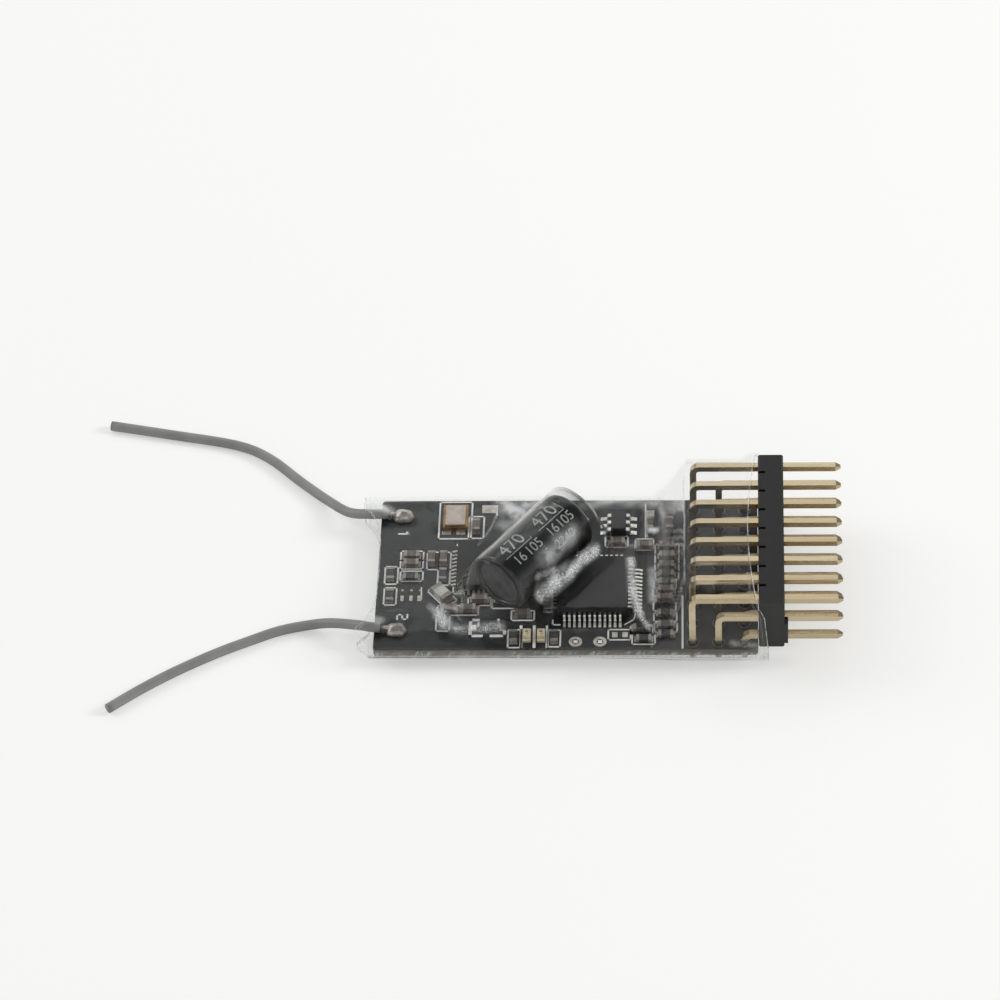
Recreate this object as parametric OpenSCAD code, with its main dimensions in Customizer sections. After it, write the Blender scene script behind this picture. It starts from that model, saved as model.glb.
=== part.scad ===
// Radio control receiver: a circuit board with a right-angle pin header, two antenna
// leads and an electrolytic capacitor, all held in a clear heat-shrink sleeve.
// Frame: +X towards the pin tips, +Y away from the front edge, +Z up from the
// underside of the sleeve. The origin is the centre of the object's footprint.

/* [Circuit board] */
// Length of the board
board_len = 37.8; // [36:0.1:42]
// Width of the board
board_w = 20.2; // [20.2:0.1:24]
// Thickness of the board
board_t = 0.8; // [0.6:0.1:1.6]
// Radius of the board's corners
board_corner_r = 0.4; // [0.1:0.1:1]
// Diameter of a spare plated hole
via_d = 0.7; // [0.4:0.1:0.9]

/* [Pin header] */
// Number of pin columns across the board
columns = 8; // [3:1:8]
// Distance between neighbouring pins
pitch = 2.54; // [2.5:0.01:2.6]
// Side of a square pin
pin_side = 0.64; // [0.5:0.02:0.7]
// Length of pin that stands out of the block
pin_reach = 5.7; // [4:0.1:8]
// Length of the tapered tip
pin_taper = 0.5; // [0.3:0.1:0.8]
// Width left at the very tip
pin_tip_w = 0.26; // [0.16:0.02:0.4]
// Inner radius of the bend
pin_bend_r = 0.35; // [0.2:0.05:0.5]
// Length of pin below the board
pin_tail = 1; // [0.8:0.1:1.6]
// Height of the lowest pin row above the board
pin_row_height = 1.24; // [1.2:0.02:1.6]
// Clearance around a pin in its hole in the block
pin_fit = 0.02; // [0.01:0.01:0.05]
// Diameter of a plated hole for a pin
pin_hole_d = 1; // [1:0.05:1.2]
// Distance from the board's end to the nearest row of holes
pin_inset = 1.33; // [1.2:0.01:1.8]
// How far the header lies off the board's centre line
header_shift = -0.3; // [-0.4:0.05:0.4]
// Thickness of the block along the pins
block_t = 2.5; // [2.3:0.05:2.8]
// Block beyond the centre of the first and last column
block_end = 1.1; // [0.9:0.02:1.2]
// Block above the top row's centre and below the bottom row's
block_rise = 0.6; // [0.5:0.02:0.9]
// Chamfer along the block's edges
block_chamfer = 0.15; // [0.05:0.05:0.25]
// Width of the relief slots between columns
slot_w = 0.3; // [0.2:0.05:0.5]
// Depth of the relief slots
slot_depth = 0.7; // [0.4:0.1:1.2]
// Height of a soldered fillet under the board
fillet_h = 0.7; // [0.5:0.05:0.75]

/* [Chips] */
// Side of the main controller's body
mcu_side = 7; // [6:0.1:7.4]
// Thickness of the main controller's body
mcu_h = 1.4; // [1:0.1:1.6]
// Leads along each side of the main controller
mcu_leads = 12; // [8:1:12]
// Distance between the main controller's leads
mcu_pitch = 0.5; // [0.4:0.05:0.5]
// How far the main controller's leads stand out
mcu_lead_reach = 1; // [0.8:0.1:1.1]
// Side of the radio chip
radio_side = 6; // [5:0.1:6.2]
// Thickness of the radio chip
radio_h = 0.9; // [0.7:0.05:1.1]
// Pads along each side of the radio chip
radio_pads = 10; // [6:1:10]
// Gap between a chip's body and the board
standoff = 0.1; // [0.05:0.05:0.15]
// Width of the crystal, across the board's length
crystal_w = 2.5; // [2:0.1:2.8]
// Length of the crystal, across the board's width
crystal_len = 3.2; // [2.5:0.1:3.4]
// Height of the crystal
crystal_h = 0.75; // [0.6:0.05:0.9]

/* [Capacitor] */
// Diameter over the printed sleeve
cap_d = 6.3; // [5:0.1:6.8]
// Length of the capacitor
cap_len = 11; // [9:0.5:12]
// Wall of the printed sleeve
cap_skin = 0.12; // [0.1:0.02:0.2]
// Depth of the crimp groove
cap_groove = 0.45; // [0.2:0.05:0.6]
// Distance from the groove to the lead end
cap_groove_at = 1.9; // [1.5:0.1:2.6]
// Angle of the capacitor's axis to the board's length
cap_turn = 51.5; // [46:0.5:56]
// Diameter of a lead
cap_lead_d = 0.5; // [0.4:0.05:0.6]
// Distance between the leads
cap_lead_pitch = 2.5; // [2:0.1:2.5]

/* [Heat shrink sleeve] */
// Wall of the clear sleeve
film_t = 0.2; // [0.1:0.02:0.3]
// Gap between the sleeve and what it covers
film_gap = 0.1; // [0.06:0.02:0.2]
// How far the sleeve passes the antenna end of the board
film_flare = 1.75; // [1:0.05:2.5]
// How far its edge draws back between the two leads
film_notch = 1.9; // [0.5:0.1:2.2]
// How far its edge sags back behind the header block
film_sag = 0.9; // [0.2:0.1:1.4]
// How far its sides wrap along the block
film_wrap = 1.1; // [0.4:0.1:1.6]
// Length of the rise from the chips up to the pins
film_ramp = 4.6; // [4:0.1:6]
// Slope of the sleeve beside and beyond the capacitor, in degrees
film_flank = 66; // [60:1:72]

/* [Antennas] */
// Diameter of the grey jacket
lead_d = 1; // [0.8:0.05:1.1]
// Diameter of the stripped and tinned core
core_d = 0.4; // [0.3:0.05:0.5]
// Length of the solder joint
joint_len = 2.2; // [1.8:0.1:2.6]
// Width of the solder joint
joint_w = 1.6; // [1.2:0.1:1.8]
// Height of the solder joint
joint_h = 0.9; // [0.7:0.05:0.95]

/* [Hidden] */
$fn = 32;
hair = 0.01;
rows = 3;

// Heights
board_z = film_t + 0.05 + pin_tail;
board_top = board_z + board_t;
mcu_top = board_top + standoff + mcu_h;
cap_r = cap_d / 2;
cap_z = mcu_top + 0.05 + cap_r;
top_row_z = board_top + pin_row_height + (rows - 1) * pitch;

// Lengths, with the footprint centred on the origin
reach_past_board = 0.05 + block_t + pin_reach;
overall_len = film_flare + board_len + reach_past_board;
board_x0 = film_flare - overall_len / 2;
board_x1 = board_x0 + board_len;
block_x0 = board_x1 + 0.05;
block_x1 = block_x0 + block_t;
pin_tip_x = block_x1 + pin_reach;
block_half = (columns - 1) * pitch / 2 + block_end;

// Places on the board, measured from its front corner at the antenna end on a board of the
// layout's size; a larger or smaller board spreads or closes them in proportion
layout = [37.8, 20.2];
mcu_at = [21.5, 7.8];
radio_at = [10.9, 10.9];
crystal_at = [7.5, 17.6];
regulator_at = [23.9, 16.6];
cap_at = [15.8, 8.9];
filter_at = [6.5, 7.2];
filter_turn = -50;
diode_at = [11.3, 2.9];
via_spots = [[19.9, 1.05], [22.3, 1.05]];
led_spots = [[15.1, 1.75], [16.5, 1.75]];
joint_inset = 2.2;
joint_edge = [2.5, 2.3];

// Small parts: place along and across the board, and turn
capacitor_spots = [
    [3.3, 12.4, 0], [3.3, 11.3, 0], [5.3, 12, 90], [6.5, 12, 90], [9.6, 16.4, 90],
    [7.3, 5.2, 0], [9.2, 5.2, 0], [10.3, 6.5, 0], [12.6, 6.5, 0], [14.6, 4.5, 0],
    [23.8, 14.1, 0], [26.5, 13.7, 0], [28.75, 13.6, 0], [28.75, 12.3, 0], [28.75, 10.95, 0],
    [28.7, 7.65, 0], [28.6, 6.55, 0], [27, 16.6, 90], [29, 16.6, 90]
];
resistor_spots = [
    [1.3, 10, 90], [1.35, 7.1, 90], [3.3, 9.6, 0], [6.5, 9.9, 90], [6.7, 3.5, 90],
    [13.8, 1.6, 90], [17.8, 1.6, 90], [26.3, 2.7, 0], [26.6, 1.3, 0], [28.75, 9.95, 0],
    [28.75, 8.85, 0], [28.7, 4.65, 0], [28.75, 3.15, 0], [28.75, 1.9, 0]
];
small_len = 1.5;
small_w = 0.75;
small_end = 0.3;
capacitor_h = 0.7;
resistor_h = 0.45;
filter_size = [2, 1.25, 0.85];
regulator_body = [1.6, 2.9, 1.1];
diode_body = [1.8, 1.25, 0.85];

function on_board(at) = [
    board_x0 + at[0] * board_len / layout[0],
    at[1] * board_w / layout[1] - board_w / 2
];
function column_y(col) = header_shift + (col - (columns + 1) / 2) * pitch;
function row_x(row) = board_x1 - pin_inset - row * pitch;
function row_z(row) = board_top + pin_row_height + row * pitch;

// Capacitor axis and leads
cap_dir = [cos(cap_turn), sin(cap_turn)];
cap_side = [sin(cap_turn), -cos(cap_turn)];
cap_mid = on_board(cap_at);
cap_end_a = cap_mid - cap_dir * cap_len / 2;
cap_end_b = cap_mid + cap_dir * cap_len / 2;
cap_lead_out = 1.2;
cap_lead_tail = 0.7;
function cap_hole(side) = cap_end_b + cap_dir * cap_lead_out + cap_side * side * cap_lead_pitch / 2;

// Antenna routes, from the end of the jacket over its joint to the cut tip: steps along and
// across the board, and the share of the height between the board and the ground
lead_z = board_top + lead_d / 2 + 0.05;
joint_a = [board_x0 + joint_inset, board_w / 2 - joint_edge[1]];
joint_b = [board_x0 + joint_inset, joint_edge[0] - board_w / 2];
jacket_inset = 0.65;
core_len = joint_inset - jacket_inset - 0.02;
lead_steps_a = [
    [0, 0, 1], [-1, 0, 1], [-2, 0.2, 0.9], [-4.1, 1.3, 0.48], [-6.4, 3.7, 0.1],
    [-9.4, 6.6, 0], [-12.8, 9.9, 0], [-16.3, 11.8, 0], [-22.9, 13.3, 0], [-29.5, 14.7, 0]
];
lead_steps_b = [
    [0, 0, 1], [-1, 0.1, 1], [-2, 0.5, 0.9], [-4.9, 1.7, 0.43], [-7.1, 2.1, 0.1],
    [-10.2, 1.5, 0], [-13.2, 0.1, 0], [-16.3, -1.5, 0], [-20.2, -3.9, 0], [-23.5, -6.3, 0],
    [-26.4, -8.7, 0]
];
function lead_route(at, steps) = [
    for (s = steps) [
        at[0] - joint_inset + jacket_inset + s[0],
        at[1] + s[1],
        lead_d / 2 + s[2] * (lead_z - lead_d / 2)
    ]
];

// Names of the pins, one node each
pin_rows = ["ground_pin", "power_pin", "signal_pin"];
function pin_name(row, col) = str(pin_rows[row], "_", col);

// Puts its children on the board's top face, at a place and turn
module seat(at, turn = 0, lift = 0) {
    p = on_board(at);
    translate([p[0], p[1], board_top + lift]) rotate([0, 0, turn]) children();
}

// A block centred on X and Y that stands on its base
module block(size) {
    translate([-size[0] / 2, -size[1] / 2, 0]) cube(size);
}

module circuit_board() {
    color([0.16, 0.17, 0.17])
    translate([0, 0, board_z])
    linear_extrude(board_t)
    difference() {
        translate([board_x0, -board_w / 2]) rounded_plate([board_len, board_w], board_corner_r);
        for (row = [0:rows - 1], col = [1:columns])
            translate([row_x(row), column_y(col)]) circle(d = pin_hole_d);
        for (side = [-1, 1]) translate(cap_hole(side)) circle(d = cap_lead_d + 0.3);
        for (at = via_spots) translate(on_board(at)) circle(d = via_d);
    }
}

// A plate outline whose corners are true arcs
module rounded_plate(size, r) {
    translate([r, 0]) square([size[0] - 2 * r, size[1]]);
    translate([0, r]) square([size[0], size[1] - 2 * r]);
    for (x = [r, size[0] - r], y = [r, size[1] - r]) translate([x, y]) circle(r = r);
}

// Insulator of the header: square bores, relief slots at the back and a gate mark in front
module header_block() {
    z0 = row_z(0) - block_rise;
    z1 = top_row_z + block_rise;
    bore = pin_side + 2 * pin_fit;
    color([0.08, 0.08, 0.09]) {
        difference() {
            translate([0, header_shift + block_half, 0])
            rotate([90, 0, 0])
            linear_extrude(2 * block_half)
            polygon([
                [block_x0 + block_chamfer, z0], [block_x1 - block_chamfer, z0],
                [block_x1, z0 + block_chamfer], [block_x1, z1 - block_chamfer],
                [block_x1 - block_chamfer, z1], [block_x0 + block_chamfer, z1],
                [block_x0, z1 - block_chamfer], [block_x0, z0 + block_chamfer]
            ]);
            for (row = [0:rows - 1], col = [1:columns])
                translate([block_x0 - 1, column_y(col) - bore / 2, row_z(row) - bore / 2])
                cube([block_t + 2, bore, bore]);
            for (col = [1:columns - 1])
                translate([block_x0 - 1, column_y(col + 0.5) - slot_w / 2, z0 - 1])
                cube([slot_depth + 1, slot_w, z1 - z0 + 2]);
        }
        translate([block_x1, header_shift - block_half, row_z(0) - 0.1])
        cube([0.35, 0.7, pitch + 0.2]);
    }
}

// One pin in side view: tip, bend and tail
module pin_side_view(row) {
    half = pin_side / 2;
    bend = pin_bend_r + half;
    x = row_x(row);
    z = row_z(row);
    tail_z = board_z - pin_tail;
    translate([x + bend, z - half]) square([pin_tip_x - pin_taper - x - bend, pin_side]);
    polygon([
        [pin_tip_x - pin_taper - hair, z - half], [pin_tip_x - pin_taper, z - half],
        [pin_tip_x, z - pin_tip_w / 2], [pin_tip_x, z + pin_tip_w / 2],
        [pin_tip_x - pin_taper, z + half], [pin_tip_x - pin_taper - hair, z + half]
    ]);
    intersection() {
        translate([x + bend, z - bend]) difference() {
            circle(r = bend + half);
            circle(r = pin_bend_r);
        }
        translate([x - half, z - bend]) square([bend + half, bend + half]);
    }
    polygon([
        [x - half, tail_z + 0.2], [x - half + 0.15, tail_z], [x + half - 0.15, tail_z],
        [x + half, tail_z + 0.2], [x + half, z - bend], [x - half, z - bend]
    ]);
}

// One pin in plan: full width, tapered at the tip
module pin_plan(row) {
    half = pin_side / 2;
    x = row_x(row) - pin_side;
    polygon([
        [x, -half], [pin_tip_x - pin_taper, -half], [pin_tip_x, -pin_tip_w / 2],
        [pin_tip_x, pin_tip_w / 2], [pin_tip_x - pin_taper, half], [x, half]
    ]);
}

module header_pin(row, col) {
    color([0.80, 0.66, 0.40])
    translate([0, column_y(col), 0])
    intersection() {
        translate([0, pin_side, 0]) rotate([90, 0, 0]) linear_extrude(2 * pin_side) pin_side_view(row);
        linear_extrude(row_z(row) + pitch) pin_plan(row);
    }
}

// Solder under the board: one ring-shaped fillet around each pin
module pin_solder() {
    bore = pin_side + 2 * pin_fit;
    color([0.75, 0.76, 0.77])
    for (row = [0:rows - 1], col = [1:columns])
        translate([row_x(row), column_y(col), board_z - fillet_h])
        difference() {
            cylinder(h = fillet_h, r1 = pin_side * 0.72, r2 = 0.9);
            translate([0, 0, -1]) block([bore, bore, fillet_h + 2]);
        }
}

// A gull-wing lead, from the body's side down to its foot
module gull_lead(reach, body_z, width) {
    foot = reach * 0.5;
    metal = 0.15;
    rotate([90, 0, 0])
    translate([0, 0, -width / 2])
    linear_extrude(width)
    polygon([
        [-hair, body_z], [reach - foot - 0.1, body_z], [reach - foot, metal], [reach - foot, 0],
        [reach, 0], [reach, metal], [reach - foot + metal, metal],
        [reach - foot + metal - 0.1, body_z + metal], [-hair, body_z + metal]
    ]);
}

module main_controller() {
    lead_w = mcu_pitch * 0.44;
    mid_z = standoff + mcu_h / 2;
    slope = 0.12;
    color([0.13, 0.13, 0.14])
    seat(mcu_at) {
        difference() {
            translate([0, 0, standoff]) union() {
                block([mcu_side, mcu_side, mcu_h / 2 + 0.1]);
                translate([0, 0, mcu_h / 2]) block([mcu_side - slope, mcu_side - slope, mcu_h / 2]);
            }
            translate([-mcu_side / 2 + 0.9, -mcu_side / 2 + 0.9, standoff + mcu_h - 0.08])
            cylinder(h = 1, r = 0.35);
        }
        for (turn = [0:90:270], i = [0:mcu_leads - 1])
            rotate([0, 0, turn])
            translate([mcu_side / 2, (i - (mcu_leads - 1) / 2) * mcu_pitch, 0])
            gull_lead(mcu_lead_reach, mid_z - 0.1, lead_w);
    }
}

module radio_chip() {
    pad_pitch = 0.5;
    color([0.12, 0.12, 0.13])
    seat(radio_at) {
        translate([0, 0, 0.05]) block([radio_side, radio_side, radio_h - 0.05]);
        for (turn = [0:90:270], i = [0:radio_pads - 1])
            rotate([0, 0, turn])
            translate([radio_side / 2 - 0.4, (i - (radio_pads - 1) / 2) * pad_pitch - 0.12, 0])
            cube([0.65, 0.24, 0.12]);
    }
}

module crystal_base() {
    color([0.72, 0.60, 0.36])
    seat(crystal_at)
    block([crystal_w, crystal_len, crystal_h * 0.7]);
}

module crystal_lid() {
    rim = 0.25;
    color([0.82, 0.76, 0.70])
    seat(crystal_at, 0, crystal_h * 0.7)
    block([crystal_w - 2 * rim, crystal_len - 2 * rim, crystal_h * 0.3]);
}

module regulator() {
    color([0.14, 0.14, 0.15])
    seat(regulator_at) {
        translate([0, 0, standoff]) block(regulator_body);
        for (turn = [0, 180], i = [-1:1])
            rotate([0, 0, turn])
            translate([regulator_body[0] / 2, i * 0.95, 0])
            gull_lead(0.65, 0.5, 0.4);
    }
}

// Puts its children on the capacitor's axis, with +X from the vent end to the leads
module on_cap_axis() {
    translate([cap_end_a[0], cap_end_a[1], cap_z]) rotate([0, 0, cap_turn]) children();
}

// Half of the capacitor's outline, from the vent end to the crimped end
module cap_outline(r, x0, x1) {
    shoulder = 0.5;
    groove_x = cap_len - cap_groove_at;
    difference() {
        union() {
            translate([x0, 0]) square([x1 - x0 - shoulder, r]);
            translate([x0, 0]) square([x1 - x0, r - shoulder]);
            translate([x1 - shoulder, r - shoulder]) circle(r = shoulder);
        }
        translate([groove_x, r + 0.25]) circle(r = cap_groove + 0.25);
        translate([x0 - 1, -r]) square([x1 - x0 + 2, r]);
    }
}

// Turns a half outline about the capacitor's axis
module turned_on_axis() {
    rotate([0, 90, 0]) rotate_extrude($fn = 64) rotate([0, 0, 90]) mirror([0, 1]) children();
}

module capacitor_can() {
    r = cap_r - cap_skin - 0.01;
    color([0.72, 0.73, 0.75])
    on_cap_axis()
    difference() {
        turned_on_axis() cap_outline(r, 0.25, cap_len - 0.15);
        translate([cap_len - 1.4, 0, 0]) rotate([0, 90, 0]) cylinder(h = 2, r = r - 0.6);
        for (turn = [0, 60, 120])
            rotate([turn, 0, 0]) translate([0, -r * 0.6, -0.05]) cube([0.33, r * 1.2, 0.1]);
    }
}

module capacitor_sleeve() {
    lip = 0.75;
    inner = cap_r - cap_skin;
    color([0.06, 0.06, 0.07])
    on_cap_axis()
    difference() {
        turned_on_axis() cap_outline(cap_r, 0, cap_len);
        turned_on_axis() cap_outline(inner, 0.24, cap_len - 0.14);
        translate([-1, 0, 0]) rotate([0, 90, 0]) cylinder(h = 2, r = cap_r - lip);
        translate([cap_len - 1, 0, 0]) rotate([0, 90, 0]) cylinder(h = 2, r = cap_r - lip);
    }
}

// Rubber bung that closes the can, with the two leads passing through it
module capacitor_bung() {
    r = cap_r - cap_skin - 0.01 - 0.62;
    color([0.10, 0.10, 0.10])
    on_cap_axis()
    difference() {
        translate([cap_len - 1.38, 0, 0]) rotate([0, 90, 0]) cylinder(h = 1.3, r = r);
        for (side = [-1, 1])
            translate([cap_len - 2, -side * cap_lead_pitch / 2, 0])
            rotate([0, 90, 0])
            cylinder(h = 3, d = cap_lead_d + 0.04);
    }
}

// Route of a capacitor lead: level out of the bung, round a bend and down through the board
function cap_lead_route(side) =
    let (
        bend = 0.6,
        hole = cap_hole(side),
        start = hole - cap_dir * (cap_lead_out + 1.38)
    )
    concat(
        [[start[0], start[1], cap_z]],
        [for (a = [0:15:90]) let (back = bend * (1 - sin(a)))
            [hole[0] - cap_dir[0] * back, hole[1] - cap_dir[1] * back, cap_z - bend * (1 - cos(a))]],
        [[hole[0], hole[1], board_z - cap_lead_tail]]
    );

module capacitor_lead(side) {
    color([0.78, 0.79, 0.80])
    swept_tube(cap_lead_route(side), cap_lead_d, 8, [cap_side[0], cap_side[1], 0]);
}

// A small light: ceramic base with a moulded lens on top
module status_light(i) {
    color([0.86, 0.80, 0.66])
    seat(led_spots[i - 1]) {
        block([0.8, 1.6, 0.3]);
        block([0.8, 1.1, 0.7]);
    }
}

// A small two-ended part: a body between two wrapped metal ends
module two_ended(len, w, h) {
    wrap = 0.04;
    block([len - 2 * small_end, w - 2 * wrap, h - wrap]);
    for (side = [-1, 1]) translate([side * (len - small_end) / 2, 0, 0]) block([small_end, w, h]);
}

module band_filter() {
    color([0.84, 0.84, 0.78]) seat(filter_at, filter_turn) two_ended(filter_size[0], filter_size[1], filter_size[2]);
}

module diode() {
    color([0.22, 0.22, 0.23])
    seat(diode_at) {
        translate([0, 0, standoff]) block(diode_body);
        for (turn = [0, 180]) rotate([0, 0, turn]) translate([diode_body[0] / 2, 0, 0]) gull_lead(0.5, 0.4, 0.6);
    }
}

module ceramic_capacitors() {
    color([0.55, 0.46, 0.38])
    for (spot = capacitor_spots) seat(spot, spot[2]) two_ended(small_len, small_w, capacitor_h);
}

module chip_resistors() {
    color([0.20, 0.20, 0.21])
    for (spot = resistor_spots) seat(spot, spot[2]) two_ended(small_len, small_w, resistor_h);
}

// Solder over the tinned end of an antenna lead: a low mound, and the core up to the jacket
module antenna_joint(at) {
    color([0.75, 0.76, 0.76]) {
        translate([at[0], at[1], board_top])
        difference() {
            hull() for (side = [-1, 1])
                translate([side * (joint_len - joint_w) / 2, 0, 0])
                scale([1, 1, joint_h / (joint_w / 2)]) sphere(d = joint_w, $fn = 24);
            translate([0, 0, -1]) block([2 * joint_len, 2 * joint_w, 1]);
        }
        translate([at[0] - core_len, at[1], lead_z])
        rotate([0, 90, 0])
        cylinder(h = core_len, d = core_d, $fn = 12);
    }
}

// Direction of a route at one of its points
function route_dir(route, i) =
    let (a = route[max(i - 1, 0)], b = route[min(i + 1, len(route) - 1)], d = b - a) d / norm(d);

// A ring of points around one point of a route; ref is a direction that the route never takes
function route_ring(route, i, d, sides, ref) =
    let (
        along = route_dir(route, i),
        side_raw = cross(along, ref),
        side = side_raw / norm(side_raw),
        up = cross(side, along)
    )
    [for (k = [0:sides - 1]) route[i] + d / 2 * (cos(360 * (k + 0.5) / sides) * side
        + sin(360 * (k + 0.5) / sides) * up)];

// A smooth route through the chosen points, with steps between each pair
function bezier_point(a, b, c, d, t) =
    pow(1 - t, 3) * a + 3 * pow(1 - t, 2) * t * b + 3 * (1 - t) * t * t * c + t * t * t * d;
function knot_slope(route, i) = (route[min(i + 1, len(route) - 1)] - route[max(i - 1, 0)]) / 6;
function smooth_route(route, steps) = concat(
    [for (i = [0:len(route) - 2], s = [0:steps - 1])
        bezier_point(route[i], route[i] + knot_slope(route, i),
            route[i + 1] - knot_slope(route, i + 1), route[i + 1], s / steps)],
    [route[len(route) - 1]]
);

// A plain tube swept along a route
module swept_tube(route, d, sides = 8, ref = [0, 0, 1]) {
    rings = len(route);
    points = [for (i = [0:rings - 1]) each route_ring(route, i, d, sides, ref)];
    walls = [for (i = [0:rings - 2], k = [0:sides - 1])
        [i * sides + k, i * sides + (k + 1) % sides, (i + 1) * sides + (k + 1) % sides, (i + 1) * sides + k]];
    first = [for (k = [0:sides - 1]) sides - 1 - k];
    last = [for (k = [0:sides - 1]) (rings - 1) * sides + k];
    polyhedron(points, concat([first], walls, [last]));
}

module antenna_lead(route) {
    color([0.52, 0.52, 0.51]) swept_tube(smooth_route(route, 2), lead_d);
}

// Heat-shrink sleeve: rings of points along the board, outside and inside

film_rings = 44;
film_across = 28;
film_under = 8;
film_low = board_z - film_gap;
film_half_board = board_w / 2 + film_gap;
film_half_block = max(film_half_board, block_half + abs(header_shift) + film_gap);
film_over_small = filter_size[2] + film_gap;
film_over_pins = top_row_z + pin_side / 2 + 0.33 - board_top;
film_tent_r = cap_r + film_gap + 0.15;
film_ramp_x0 = row_x(rows - 1) - pin_side / 2 - 0.35 - film_ramp;
film_x0 = board_x0 - film_flare;
film_x1 = block_x0 - film_gap;

function unit(t) = max(0, min(1, t));
function ease(t) = let (c = unit(t)) c * c * (3 - 2 * c);
function blend(a, b, t) = a + (b - a) * t;
function hood(t, n, root) = pow(max(0, 1 - pow(min(1, abs(t)), n)), 1 / root);

// Half width of the sleeve's inside
function film_half(x) = blend(film_half_board, film_half_block, ease((x - film_ramp_x0) / film_ramp));

// Share of the climb from the board to the pins: slow at first, steep up to the pins' bends
function film_climb(x) = pow(unit((x - film_ramp_x0) / film_ramp), 2);

// Y on a side wall, which leans in towards the outer pins and out again at the block
function film_wall_y(x, y, rise) =
    let (
        pins_half = (columns - 1) * pitch / 2 + pin_side / 2 + film_gap + 0.4,
        lean = film_climb(x) * (1 - ease((x - film_x1 + 2) / 1.6)) * rise / film_over_pins
    )
    blend(y, header_shift + y * pins_half / film_half_block, unit(lean));

// What the sleeve lies on besides the small parts: middle, plan size, height over the board,
// and width of the slope around it
joint_rest = [1.5 * joint_len, joint_w];
film_rests = [
    [on_board(mcu_at), [mcu_side, mcu_side], mcu_top - board_top, 1.9],
    [on_board(radio_at), [radio_side, radio_side], radio_h, 1.5],
    [on_board(regulator_at), regulator_body, standoff + regulator_body[2], 1.8],
    [on_board(diode_at), diode_body, standoff + diode_body[2], 1.2],
    [on_board(crystal_at), [crystal_w, crystal_len], crystal_h + 0.25, 1.2],
    [joint_a - [joint_len / 2, 0], joint_rest, lead_z + lead_d / 2 - board_top, 1.4],
    [joint_b - [joint_len / 2, 0], joint_rest, lead_z + lead_d / 2 - board_top, 1.4]
];
film_rest_margin = 0.3;
film_rest_gap = film_gap + 0.12;
function film_lift(x, y, rest) =
    let (
        past_x = max(0, abs(x - rest[0][0]) - rest[1][0] / 2 - film_rest_margin),
        past_y = max(0, abs(y - rest[0][1]) - rest[1][1] / 2 - film_rest_margin)
    )
    max(0, rest[2] + film_rest_gap - film_over_small) * (1 - ease(norm([past_x, past_y]) / rest[3]));

// Height of the tent over the capacitor: round on top, then straight down its flanks and ends
function film_tent(x, y) =
    let (
        v = [x, y] - cap_end_a,
        w = abs(v * cap_side),
        past = max(0, -v * cap_dir, v * cap_dir - cap_len) - 0.7,
        turn_w = film_tent_r * sin(film_flank),
        top = sqrt(pow(film_tent_r, 2) - pow(min(w, turn_w), 2)),
        fall = max(0, w - turn_w) + sqrt(pow(max(0, past), 2) + 0.16) - 0.4
    )
    max(0, cap_z - board_top + top - fall * tan(film_flank));

// Height of the inside above the board: parts, capacitor tent and header tent together
function film_rise(x, y) =
    let (
        side = y / film_half(x),
        lift = max([for (rest = film_rests) film_lift(x, y, rest)]),
        parts = (film_over_small + lift) * hood(side, 6, 2),
        pins = film_over_pins * film_climb(x) * hood(side, 14, 14),
        tent = film_tent(x, y) * hood(side, 8, 8)
    )
    pow(pow(parts, 4) + pow(pins, 4) + pow(tent, 4), 1 / 4);

// Height of the underside, which draws in towards the board's end
function film_floor(x) = 0.75 * (1 - ease((x - film_x0) / 4));

// Width by which the underside tucks in
function film_tuck(x) = blend(2.2, 0.85, ease((x - board_x0) / (film_ramp_x0 - board_x0)));

// Free edges: drawn back between the leads and at the front corner, sagging at the other end
function film_edge_left(t) =
    film_x0 + film_notch * (pow(max(0, 1 - pow(abs(t) / 0.78, 4)), 0.8) + 0.7 * ease((-t - 0.82) / 0.18));
function film_edge_right(t, high) =
    film_x1 + (high ? -film_sag * (1 - t * t) : film_wrap);

// One ring of the inside, at a share u of the length; grow moves it outwards by the wall
function film_ring(u, grow) =
    let (
        across = film_across,
        under = film_under,
        top = [for (k = [0:across]) let (
                c = cos(180 * k / across),
                edge = k == 0 || k == across,
                x = blend(film_edge_left(c), film_edge_right(c, !edge), u),
                half = film_half(x),
                rise = edge ? 0 : film_rise(x, c * half)
            ) [x, film_wall_y(x, c * half, rise) + c * grow, board_top + rise + (edge ? 0 : grow)]],
        bottom = [for (k = [0:under]) let (
                c = blend(-1, 1, k / under),
                edge = k == 0 || k == under,
                x = blend(film_edge_left(c), film_edge_right(c, false), u),
                half = film_half(x),
                flat = half - film_tuck(x) * (1 - grow / film_tuck(x) * 0.4),
                y = edge ? c * (half + grow) : c / (1 - 2 / under) * flat
            ) [x, y, edge ? blend(film_low, board_z, 0.3) : film_t - grow + film_floor(x)]]
    )
    concat(top, bottom);

module heat_shrink_sleeve() {
    count = film_across + film_under + 2;
    inner = [for (i = [0:film_rings]) each film_ring(i / film_rings, 0)];
    outer = [for (i = [0:film_rings]) each film_ring(i / film_rings, film_t)];
    shift = len(inner);
    walls = [for (i = [0:film_rings - 1], k = [0:count - 1]) let (
            a = i * count + k,
            b = i * count + (k + 1) % count,
            c = a + count,
            d = b + count
        ) each [[a, b, c], [b, d, c], [a + shift, c + shift, b + shift], [b + shift, c + shift, d + shift]]];
    last = film_rings * count;
    rims = [for (k = [0:count - 1]) let (n = (k + 1) % count) each [
            [k, k + shift, n], [n, k + shift, n + shift],
            [last + k, last + n, last + k + shift], [last + n, last + n + shift, last + k + shift]
        ]];
    color([0.85, 0.88, 0.90, 0.35]) polyhedron(concat(inner, outer), concat(walls, rims));
}

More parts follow.
